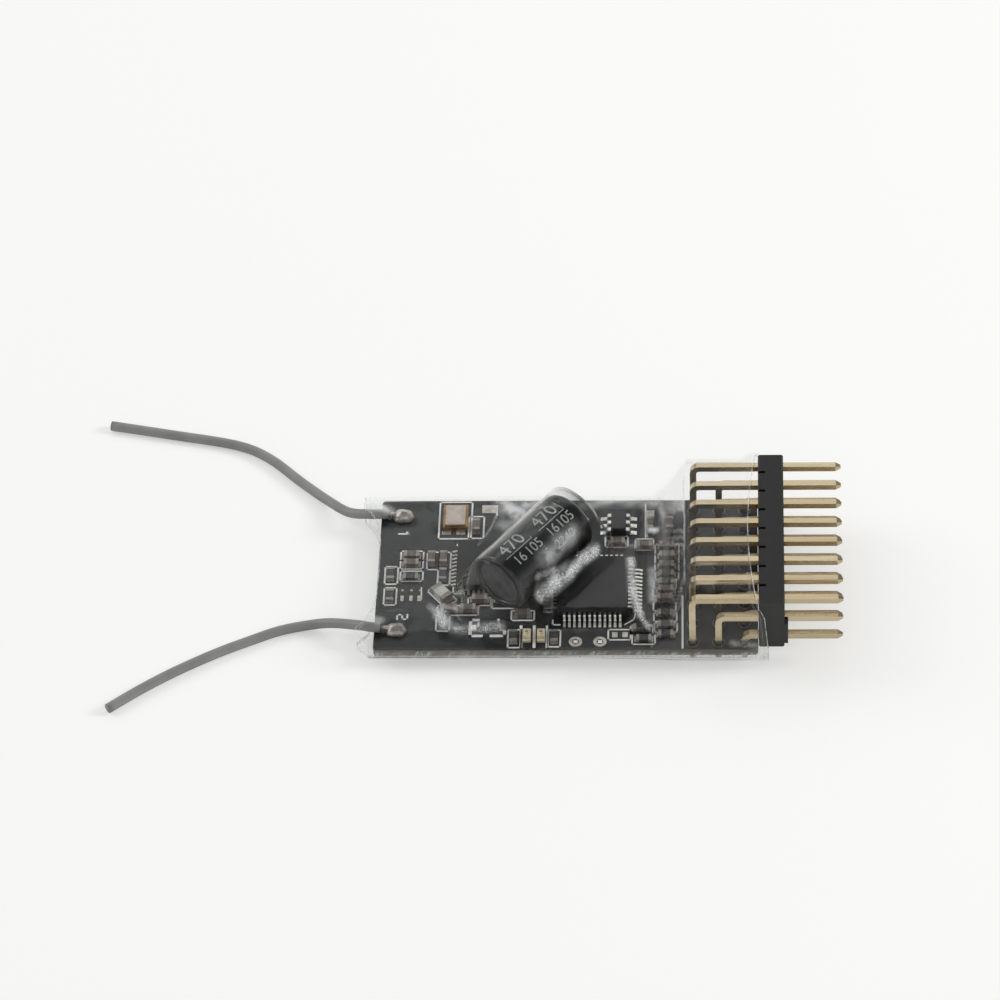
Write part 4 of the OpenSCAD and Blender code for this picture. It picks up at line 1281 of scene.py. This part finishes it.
@dataclass
class Board:
    """The circuit board's own dress: ink marks, tinned pads and plated holes."""

    line: float = 0.17
    ink: float = 0.02
    frames: Sequence[tuple[float, float, float, float]] = (
        (5.85, 9.1, 14.95, 20.0), (2.2, 4.45, 10.85, 12.0), (2.2, 4.45, 12.0, 13.25), (2.25, 4.5, 9.2, 10.55),
        (0.72, 2.0, 8.8, 11.15), (0.76, 1.98, 6.0, 8.3), (4.85, 6.05, 10.75, 13.1), (6.05, 7.2, 10.75, 13.1),
        (6.0, 7.2, 8.65, 10.75), (6.15, 10.2, 4.6, 5.9), (9.15, 11.4, 5.9, 6.95), (11.5, 13.75, 5.5, 6.8),
        (6.1, 7.4, 2.5, 4.6), (13.5, 15.75, 3.9, 5.2), (13.25, 14.55, 0.3, 2.65), (17.2, 18.4, 0.4, 2.6),
        (22.6, 24.85, 13.75, 15.25), (25.6, 27.4, 13.35, 14.85), (25.3, 27.5, 2.05, 3.2),
        (25.45, 27.7, 0.7, 2.05), (23.1, 25.3, 1.3, 2.65), (27.6, 29.95, 12.75, 14.1),
        (27.6, 29.95, 11.45, 12.75), (27.6, 29.95, 10.4, 11.45), (27.65, 29.95, 9.35, 10.4),
        (27.5, 29.7, 8.15, 9.2), (27.4, 29.6, 7.1, 8.15), (27.5, 29.7, 5.1, 6.3), (27.55, 29.8, 3.7, 4.85),
        (27.6, 29.85, 2.3, 3.55), (8.85, 10.35, 15.0, 18.0))
    strokes: Sequence[tuple[float, float, float, float, float]] = (
        (14.5, 3.1, 14.55, 0.4, 0.28), (15.8, 3.1, 15.85, 0.4, 0.28), (17.05, 3.1, 17.1, 0.4, 0.22),
        (30.35, 7.1, 30.4, 0.25, 0.2), (26.55, 19.6, 26.6, 15.1, 0.14), (4.43, 8.3, 4.5, 6.7, 0.14),
        (9.5, 3.95, 9.5, 1.85, 0.32), (12.9, 2.9, 12.9, 1.85, 0.32), (9.5, 3.95, 12.2, 3.95, 0.32),
        (9.5, 1.85, 10.6, 1.85, 0.32), (11.6, 1.85, 12.9, 1.85, 0.32),
        (7.6, 8.35, 7.6, 7.5, 0.16), (7.6, 7.5, 8.4, 7.5, 0.16),
        (17.6, 3.9, 17.6, 3.3, 0.16), (17.6, 3.3, 18.3, 3.3, 0.16), (24.7, 3.3, 25.6, 4.0, 0.14),
        (25.6, 4.0, 25.75, 4.9, 0.14), (14.85, 1.4, 15.15, 2.0, 0.12), (15.15, 2.0, 15.45, 1.4, 0.12))

    def build(self) -> None:
        """Dresses the board and adds ink, pads and rings."""
        dress("circuit_board", Finishes.MASK)
        dress("pin_solder", Finishes.SOLDER)
        self.marks()
        self.pads()

    def stroke(self, bm: bmesh.types.BMesh, a: Sequence[float], b: Sequence[float], width: float) -> None:
        """Adds one inked line between two places on the board.

        Args:
            bm: The mesh that takes it.
            a: Its first place on the board.
            b: Its last place.
            width: Width of the line.
        """
        p, q = Vector(LAYOUT.on_board(*a)), Vector(LAYOUT.on_board(*b))
        middle, along = (p + q) / 2, q - p
        add_block(bm, (middle.x, middle.y, LAYOUT.board_top + 0.002), (along.length + width, width, self.ink),
                  turn=math.degrees(math.atan2(along.y, along.x)))

    def marks(self) -> None:
        """Prints the frames, brackets and ticks."""
        bm = bmesh.new()
        for u0, u1, v0, v1 in self.frames:
            corners = [(u0, v0), (u1, v0), (u1, v1), (u0, v1)]
            for a, b in zip(corners, corners[1:] + corners[:1]):
                self.stroke(bm, a, b, self.line)
        for u0, v0, u1, v1, width in self.strokes:
            self.stroke(bm, (u0, v0), (u1, v1), width)
        for digit, (u, v) in (("1", (2.35, 15.65)), ("2", (2.7, 4.4))):
            self.digit(bm, digit, u, v)
        filter_frame = [(5.05, 7.85), (6.2, 8.95), (8.05, 6.6), (6.85, 5.65)]
        for a, b in zip(filter_frame, filter_frame[1:] + filter_frame[:1]):
            self.stroke(bm, a, b, self.line)
        dot = LAYOUT.on_board(7.88, 14.1)
        add_ring(bm, (*dot, LAYOUT.board_top + 0.002), 0.001, 0.19, self.ink)
        publish("silkscreen_marks", finished_mesh("silkscreen_marks", bm), [Finishes.INK])

    def digit(self, bm: bmesh.types.BMesh, digit: str, u: float, v: float) -> None:
        """Prints a joint's number, turned a quarter as on the board.

        Args:
            bm: The mesh that takes it.
            digit: The figure 1 or 2.
            u: Its middle along the board.
            v: Its middle across the board.
        """
        shapes = {"1": [((-0.5, 0.0), (0.5, 0.0)), ((0.5, 0.0), (0.3, 0.22))],
                  "2": [((0.5, 0.3), (0.5, -0.3)), ((0.5, -0.3), (0.0, -0.3)), ((0.0, -0.3), (0.0, 0.3)),
                        ((0.0, 0.3), (-0.5, 0.3)), ((-0.5, 0.3), (-0.5, -0.3))]}
        for (a0, a1), (b0, b1) in shapes[digit]:
            self.stroke(bm, (u + a0, v + a1), (u + b0, v + b1), 0.18)

    def pads(self) -> None:
        """Adds tinned pads and the plated rings of holes."""
        bm = bmesh.new()
        top = LAYOUT.board_top + 0.003
        pads = [(6.62, 15.76, 0.9, 0.5), (8.05, 15.76, 0.9, 0.5), (2.57, 6.85, 0.32, 0.75),
                (3.46, 6.85, 0.32, 0.75), (4.31, 6.85, 0.42, 0.75), (23.75, 1.95, 0.55, 0.7),
                (24.75, 1.95, 0.55, 0.7), (10.9, 19.0, 1.6, 1.1), (27.0, 18.3, 0.9, 0.9)]
        for u, v, length, width in pads:
            add_block(bm, (*LAYOUT.on_board(u, v), top), (length, width, 0.05), 0.015)
        for u in (2.57, 3.46, 4.31):
            add_ring(bm, (*LAYOUT.on_board(u, 7.95), top), 0.03, 0.13, 0.03, segments=16)
        for u in (19.9, 22.3):
            add_ring(bm, (*LAYOUT.on_board(u, 1.05), top), 0.33, 0.66, 0.04)
        publish("tinned_pads", finished_mesh("tinned_pads", bm), [Finishes.SOLDER])
        rings = bmesh.new()
        for row in range(LAYOUT.rows):
            for col in range(1, LAYOUT.columns + 1):
                at = (LAYOUT.row_x(row), LAYOUT.column_y(col))
                add_ring(rings, (*at, top), 0.5, 0.64, 0.03)
                add_ring(rings, (*at, LAYOUT.board_z - 0.04), 0.52, 0.95, 0.03)
        publish("hole_rings", finished_mesh("hole_rings", rings), [Finishes.PLATED])
        plugs = bmesh.new()
        for u in (19.9, 22.3):
            add_block(plugs, (*LAYOUT.on_board(u, 1.05), top - 0.1), (0.46, 0.46, 0.13), 0.05)
        publish("via_plugs", finished_mesh("via_plugs", plugs), [Finishes.TIN])


def dress(node: str, finish: Finishes) -> None:
    """Gives a CAD node its finish and leaves its mesh alone.

    Args:
        node: Name of the CAD node.
        finish: The finish it takes.
    """
    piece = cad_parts[node]
    piece.data.materials.clear()
    piece.data.materials.append(finish.value.material())
    LOG.info("%s: CAD node in %s", node, finish.value.name)


def gull_lead_mesh(name: str, reach: float, body_z: float, width: float) -> bpy.types.Mesh:
    """Builds one bent chip lead with its solder fillet, pointing along +X from its body.

    Args:
        name: The mesh's name.
        reach: How far it stands out, in millimetres.
        body_z: Height at which it leaves the body.
        width: Its width.

    Returns:
        The mesh in metres.
    """
    metal = 0.14
    foot = reach * 0.5
    profile = [(-0.05, body_z), (reach - foot - 0.16, body_z), (reach - foot - 0.08, body_z - 0.05),
               (reach - foot, 0.05), (reach - foot + 0.06, 0.01), (reach, 0.01), (reach, metal),
               (reach - foot + 0.12, metal + 0.01), (reach - foot + 0.07, metal + 0.06),
               (reach - foot, body_z + 0.04), (reach - foot - 0.1, body_z + metal), (-0.05, body_z + metal)]
    bm = bmesh.new()
    sides = [[bm.verts.new((x, side * width / 2, z)) for x, z in profile] for side in (-1, 1)]
    for k in range(len(profile)):
        n = (k + 1) % len(profile)
        bm.faces.new((sides[0][k], sides[0][n], sides[1][n], sides[1][k]))
    bm.faces.new(sides[0][::-1])
    bm.faces.new(sides[1])
    add_block(bm, (reach - foot / 2 + 0.16, 0, 0.0), (foot + 0.42, width * 1.25, 0.05), 0.02)
    add_block(bm, (reach + 0.07, 0, 0.03), (0.16, width * 1.05, 0.09), 0.02)
    return finished_mesh(name, bm)


@dataclass
class Chips:
    """The two large chips, the regulator, the diode and the crystal."""

    rows: RowPattern = field(default_factory=RowPattern)
    four_sides: Sequence[int] = (0, 90, 180, 270)
    two_ends: Sequence[int] = (0, 180)

    def build(self) -> None:
        """Builds every moulded chip and its leads."""
        self.controller()
        self.radio()
        self.regulator()
        self.diode()
        self.crystal()

    def controller(self, u: float = 21.5, v: float = 7.8, side: float = 7.0, height: float = 1.4) -> None:
        """Builds the flat 48-lead controller.

        Args:
            u: Its middle along the board.
            v: Its middle across the board.
            side: Side of its body.
            height: Height of its body.
        """
        x, y = LAYOUT.on_board(u, v)
        z = LAYOUT.board_top
        bm = bmesh.new()
        add_block(bm, (x, y, z + 0.1), (side, side, height / 2))
        add_block(bm, (x, y, z + 0.1 + height / 2 - 0.02), (side, side, height / 2 + 0.02), 0.05, taper=0.09)
        body = finished_mesh("controller_body", bm)
        publish("controller_body", body, [Finishes.EPOXY], ["main_controller"])
        mark = bmesh.new()
        corner = (x - side / 2 + 0.95, y - side / 2 + 0.95, z + 0.1 + height - 0.002)
        add_ring(mark, corner, 0.34, 0.4, 0.012)
        publish("controller_corner_mark", finished_mesh("controller_corner_mark", mark),
                [Finishes.EPOXY])
        lead = gull_lead_mesh("controller_lead", 1.0, 0.62, 0.22)
        leads = self.rows.mesh("controller_leads", lead, (x, y, z), 12, 0.5, side / 2,
                               self.four_sides, Finishes.TIN)
        publish("controller_leads", leads, ())

    def radio(self, u: float = 10.9, v: float = 10.9, side: float = 6.0, height: float = 0.9) -> None:
        """Builds the flat radio chip and its pads.

        Args:
            u: Its middle along the board.
            v: Its middle across the board.
            side: Side of its body.
            height: Height of its body.
        """
        x, y = LAYOUT.on_board(u, v)
        bm = bmesh.new()
        add_block(bm, (x, y, LAYOUT.board_top + 0.05), (side, side, height - 0.05), 0.03)
        publish("radio_body", finished_mesh("radio_body", bm), [Finishes.EPOXY], ["radio_chip"])
        pad = bmesh.new()
        add_block(pad, (-0.02, 0, 0.004), (0.75, 0.25, 0.05), 0.02)
        add_block(pad, (-0.12, 0, 0.03), (0.4, 0.22, 0.12), 0.02)
        pads = self.rows.mesh("radio_pads", finished_mesh("radio_pad", pad),
                              (x, y, LAYOUT.board_top), 10, 0.5, side / 2 + 0.22,
                              self.four_sides, Finishes.SOLDER)
        publish("radio_pads", pads, ())

    def regulator(self, u: float = 23.9, v: float = 16.6) -> None:
        """Builds the six-lead regulator.

        Args:
            u: Its middle along the board.
            v: Its middle across the board.
        """
        x, y = LAYOUT.on_board(u, v)
        bm = bmesh.new()
        add_block(bm, (x, y, LAYOUT.board_top + 0.1), (1.6, 2.9, 1.1), 0.06, taper=0.08)
        publish("regulator_body", finished_mesh("regulator_body", bm), [Finishes.EPOXY],
                ["regulator"])
        lead = gull_lead_mesh("regulator_lead", 0.65, 0.5, 0.4)
        leads = self.rows.mesh("regulator_leads", lead, (x, y, LAYOUT.board_top), 3, 0.95, 0.8, self.two_ends,
                               Finishes.TIN)
        publish("regulator_leads", leads, ())

    def diode(self, u: float = 11.3, v: float = 2.9) -> None:
        """Builds the diode inside its bracket mark.

        Args:
            u: Its middle along the board.
            v: Its middle across the board.
        """
        x, y = LAYOUT.on_board(u, v)
        bm = bmesh.new()
        add_block(bm, (x, y, LAYOUT.board_top + 0.1), (1.8, 1.25, 0.85), 0.06, taper=0.06)
        publish("diode_body", finished_mesh("diode_body", bm), [Finishes.EPOXY], ["diode"])
        lead = gull_lead_mesh("diode_lead", 0.5, 0.4, 0.6)
        leads = self.rows.mesh("diode_leads", lead, (x, y, LAYOUT.board_top), 1, 0.5, 0.9, self.two_ends,
                               Finishes.TIN)
        publish("diode_leads", leads, ())

    def crystal(self, u: float = 7.5, v: float = 17.6) -> None:
        """Builds the crystal's gold-rimmed base and its lid.

        Args:
            u: Its middle along the board.
            v: Its middle across the board.
        """
        x, y = LAYOUT.on_board(u, v)
        base = bmesh.new()
        add_block(base, (x, y, LAYOUT.board_top + 0.005), (2.5, 3.2, 0.52), 0.06)
        publish("crystal_case", finished_mesh("crystal_case", base), [Finishes.RIM],
                ["crystal_base"])
        lid = bmesh.new()
        add_block(lid, (x, y, LAYOUT.board_top + 0.525), (2.06, 2.76, 0.2), 0.05, finish=1)
        add_block(lid, (x, y, LAYOUT.board_top + 0.7), (1.66, 2.3, 0.05), 0.04)
        publish("crystal_cover", finished_mesh("crystal_cover", lid), [Finishes.LID, Finishes.RIM],
                ["crystal_lid"])


@dataclass
class Capacitor:
    """The electrolytic capacitor that lies across the chips, under the film."""

    film: Film
    length: float = 11.0
    radius: float = 3.15
    skin: float = 0.12
    groove_at: float = 1.9
    groove: float = 0.45
    groove_half: float = 0.75
    segments: int = 96

    def __post_init__(self) -> None:
        """Takes the axis from the sleeve's rules, which go over it."""
        self.start = Vector((*self.film.cap_end, self.film.cap_z))
        self.along = Vector((*self.film.cap_dir, 0.0))
        self.side = self.along.cross(Vector((0, 0, 1)))

    def point(self, s: float, r: float, angle: float) -> Vector:
        """A point at a distance along the axis, a radius and an angle from straight up."""
        around = math.cos(angle) * Vector((0, 0, 1)) + math.sin(angle) * self.side
        return self.start + self.along * s + around * r

    def turned(self, name: str, outline: Sequence[tuple[float, float]]) -> bpy.types.Mesh:
        """Turns an outline of distances and radii about the axis.

        Args:
            name: Name of the mesh.
            outline: Distances along the axis with their radii.

        Returns:
            The mesh.
        """
        angles = [2 * math.pi * k / self.segments for k in range(self.segments)]
        rings = [np.array([self.point(s, r, a) for a in angles]) for s, r in outline]
        return grid_mesh(name, rings + rings[:1], False)

    def build(self) -> None:
        """Builds the vinyl skin and the can, and dresses the bung and leads."""
        r, end = self.radius, self.length
        dip = self.groove_at
        bead = [(end - dip + self.groove_half * math.cos(a),
                 r - self.groove * (0.5 + 0.5 * math.cos(2 * (a - math.pi / 2)))
                 if 0 < a < math.pi else r) for a in (math.pi * k / 12 for k in range(12, -1, -1))]
        outline = [(0.16, r - 0.75), (0.0, r - 0.7), (0.0, r - 0.3), (0.08, r - 0.1), (0.3, r)]
        outline += bead
        outline += [(end - 0.5, r), (end - 0.22, r - 0.1), (end - 0.05, r - 0.3), (end, r - 0.55),
                    (end, r - 0.75), (end - 0.16, r - 0.75), (end - 0.2, r - 0.5), (end - 0.5, r - 0.2)]
        outline += [(end - dip, r - self.groove - 0.12), (end - dip - 0.9, r - self.skin),
                    (0.4, r - self.skin), (0.2, r - 0.4)]
        skin = self.turned("capacitor_skin", outline)
        publish("capacitor_skin", skin, [Finishes.VINYL], ["capacitor_sleeve"], True)
        self.vent()
        dress("capacitor_bung", Finishes.BUTYL)
        for number in (1, 2):
            dress(f"capacitor_lead_{number}", Finishes.WIRE)
        self.print_marks()

    def vent(self) -> None:
        """Builds the can's bare vent end inside the skin's rolled edge."""
        bm = bmesh.new()
        outline = [(0.27, 0.0), (0.27, 2.1), (0.23, 2.3), (0.24, 2.95), (0.6, 3.0)]
        angles = [2 * math.pi * k / self.segments for k in range(self.segments)]
        loops = [[bm.verts.new(self.point(s, max(rad, 1e-3), a)) for a in angles] for s, rad in outline]
        for low, high in zip(loops, loops[1:]):
            for k in range(self.segments):
                n = (k + 1) % self.segments
                bm.faces.new((low[k], low[n], high[n], high[k]))
        bm.faces.new(loops[0])
        bm.faces.new(loops[-1][::-1])
        bmesh.ops.remove_doubles(bm, verts=bm.verts, dist=0.002)
        publish("capacitor_vent", finished_mesh("capacitor_vent", bm), [Finishes.ALUMINIUM],
                ["capacitor_can"])

    def print_marks(self) -> None:
        """Prints a plain rating in figures and the line under it on the vinyl, facing the front."""
        bm = bmesh.new()
        for start in (1.0, 5.9):
            self.wrap_text(bm, "470", 2.1, start, 0.1)
            self.bar(bm, start - 0.25, start + 3.6, 0.17, 0.08)
            self.bar(bm, start + 3.55, start + 3.63, -0.3, 1.4)
        self.wrap_text(bm, "16", 1.45, 1.2, 0.6)
        self.wrap_text(bm, "105", 1.45, 2.9, 0.6)
        self.wrap_text(bm, "16", 1.45, 6.1, 0.6)
        self.wrap_text(bm, "105", 1.45, 7.6, 0.6)
        self.wrap_text(bm, "2240", 1.35, 6.0, 1.05)
        publish("capacitor_print", finished_mesh("capacitor_print", bm), [Finishes.PRINT])

    def bar(self, bm: bmesh.types.BMesh, s0: float, s1: float, angle: float, width: float) -> None:
        """Adds a printed line along the axis.

        Args:
            bm: The mesh that takes it.
            s0: Where it starts along the axis.
            s1: Where it ends.
            angle: Angle of its edge from straight up, in radians.
            width: Its width round the cylinder.
        """
        r = self.radius + 0.004
        corners = [(s0, angle), (s1, angle), (s1, angle + width / r), (s0, angle + width / r)]
        low = [bm.verts.new(self.point(s, r, a)) for s, a in corners]
        high = [bm.verts.new(self.point(s, r + 0.01, a)) for s, a in corners]
        bm.faces.new(high)
        bm.faces.new(low[::-1])
        for k in range(4):
            n = (k + 1) % 4
            bm.faces.new((low[k], low[n], high[n], high[k]))

    def wrap_text(self, bm: bmesh.types.BMesh, words: str, size: float, s0: float, angle: float) -> None:
        """Wraps figures on the cylinder.

        Args:
            bm: The mesh that takes them.
            words: The figures.
            size: Their height, in millimetres.
            s0: Distance along the axis at which they start.
            angle: Angle of their foot from straight up, in radians.
        """
        curve = bpy.data.curves.new("figures", "FONT")
        curve.body = words
        curve.size = size
        curve.extrude = 0.006
        holder = bpy.data.objects.new("figures", curve)
        bpy.context.scene.collection.objects.link(holder)
        part = bmesh.new()
        part.from_mesh(evaluated_piece(holder, "figures"))
        for level in np.arange(0.05, size, 0.1):
            cut = list(part.verts) + list(part.edges) + list(part.faces)
            bmesh.ops.bisect_plane(part, geom=cut, plane_co=(0, level, 0), plane_no=(0, 1, 0))
        for v in part.verts:
            v.co = self.point(s0 + v.co.x, self.radius + 0.012 + v.co.z, angle - v.co.y / self.radius)
        wrapped = bpy.data.meshes.new("figures")
        part.to_mesh(wrapped)
        part.free()
        bm.from_mesh(wrapped)
        bpy.data.meshes.remove(wrapped)


@dataclass
class Header:
    """The pins and the moulded block."""

    rows: Sequence[str] = ("ground_pin", "power_pin", "signal_pin")

    def build(self) -> None:
        """Dresses the block and every pin."""
        dress("header_block", Finishes.HEADER)
        for row in self.rows:
            for col in range(1, LAYOUT.columns + 1):
                dress(f"{row}_{col}", Finishes.GOLD)


@dataclass
class FlatParts:
    """The small two-ended parts, the band filter and the two lights."""

    ceramics: Sequence[Spot] = (
        (3.3, 12.4, 0), (3.3, 11.3, 0), (5.3, 12, 90), (6.5, 12, 90), (9.6, 16.4, 90), (7.3, 5.2, 0),
        (9.2, 5.2, 0), (10.3, 6.5, 0), (12.6, 6.5, 0), (14.6, 4.5, 0), (23.8, 14.1, 0), (26.5, 13.7, 0),
        (28.75, 13.6, 0), (28.75, 12.3, 0), (28.75, 10.95, 0), (28.7, 7.65, 0), (28.6, 6.55, 0),
        (27, 16.6, 90), (29, 16.6, 90))
    resistors: Sequence[Spot] = (
        (1.3, 10, 90), (1.35, 7.1, 90), (3.3, 9.6, 0), (6.5, 9.9, 90), (6.7, 3.5, 90), (13.8, 1.6, 90),
        (17.8, 1.6, 90), (26.3, 2.7, 0), (26.6, 1.3, 0), (28.75, 9.95, 0), (28.75, 8.85, 0),
        (28.7, 4.65, 0), (28.75, 3.15, 0), (28.75, 1.9, 0))

    def build(self) -> None:
        """Sets every small part on its spot."""
        parts = SmallParts()
        parts.build("ceramic_chips", self.ceramics, (1.5, 0.75, 0.7), 0.3, Finishes.CERAMIC,
                    "capacitor_ceramic", ["ceramic_capacitors"])
        parts.build("resistor_chips", self.resistors, (1.5, 0.75, 0.45), 0.3, Finishes.GLAZE,
                    "resistor_glaze", ["chip_resistors"])
        parts.build("filter_chip", [(6.5, 7.2, -50)], (2.0, 1.25, 0.85), 0.45, Finishes.ALUMINA,
                    "filter_ceramic", ["band_filter"])
        self.lights()

    def lights(self) -> None:
        """Builds the two status lights: a base with metal ends, a lens and the die's shadow in it."""
        for number, (u, v) in enumerate(((15.1, 1.75), (16.5, 1.75)), 1):
            x, y = LAYOUT.on_board(u, v)
            foot = LAYOUT.board_top + 0.004
            bm = bmesh.new()
            add_block(bm, (x, y, foot), (0.78, 1.2, 0.26), 0.03)
            add_block(bm, (x, y, LAYOUT.board_top + 0.26), (0.8, 1.1, 0.42), 0.07, taper=0.04)
            for side in (-1, 1):
                add_block(bm, (x, y + side * 0.68, foot), (0.8, 0.24, 0.3), 0.02, finish=1)
            name = f"light_{number}"
            publish(name, finished_mesh(name, bm), [Finishes.LENS, Finishes.TIN],
                    [f"status_light_{number}"])
            die = bmesh.new()
            add_block(die, (x, y + 0.1, LAYOUT.board_top + 0.675), (0.26, 0.2, 0.012), 0.0)
            add_block(die, (x + 0.12, y - 0.25, LAYOUT.board_top + 0.675), (0.2, 0.07, 0.012), 0.0, 30)
            publish(f"light_die_{number}", finished_mesh(f"light_die_{number}", die), [Finishes.RIM])


def main() -> None:
    """Builds the scene in order."""
    logging.basicConfig(level=logging.INFO, format="%(name)s: %(message)s")
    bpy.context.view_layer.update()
    Studio().build()
    far = (LAYOUT.board_x0 + 2.2, LAYOUT.board_w / 2 - 2.3, 2.2)
    near = (LAYOUT.board_x0 + 2.2, 2.5 - LAYOUT.board_w / 2, 2.2)
    AntennaLead(1, far, [(0, 0, 1), (-1, 0, 1), (-2, 0.2, 0.9), (-4.1, 1.3, 0.48), (-6.4, 3.7, 0.1),
                         (-9.4, 6.6, 0), (-12.8, 9.9, 0), (-16.3, 11.8, 0), (-22.9, 13.3, 0),
                         (-29.5, 14.7, 0)]).build()
    AntennaLead(2, near, [(0, 0, 1), (-1, 0.1, 1), (-2, 0.5, 0.9), (-4.9, 1.7, 0.43), (-7.1, 2.1, 0.1),
                          (-10.2, 1.5, 0), (-13.2, 0.1, 0), (-16.3, -1.5, 0), (-20.2, -3.9, 0),
                          (-23.5, -6.3, 0), (-26.4, -8.7, 0)]).build()
    Board().build()
    Header().build()
    Chips().build()
    FlatParts().build()
    film = Film()
    Capacitor(film).build()
    film.build()


if __name__ == "__main__":
    main()
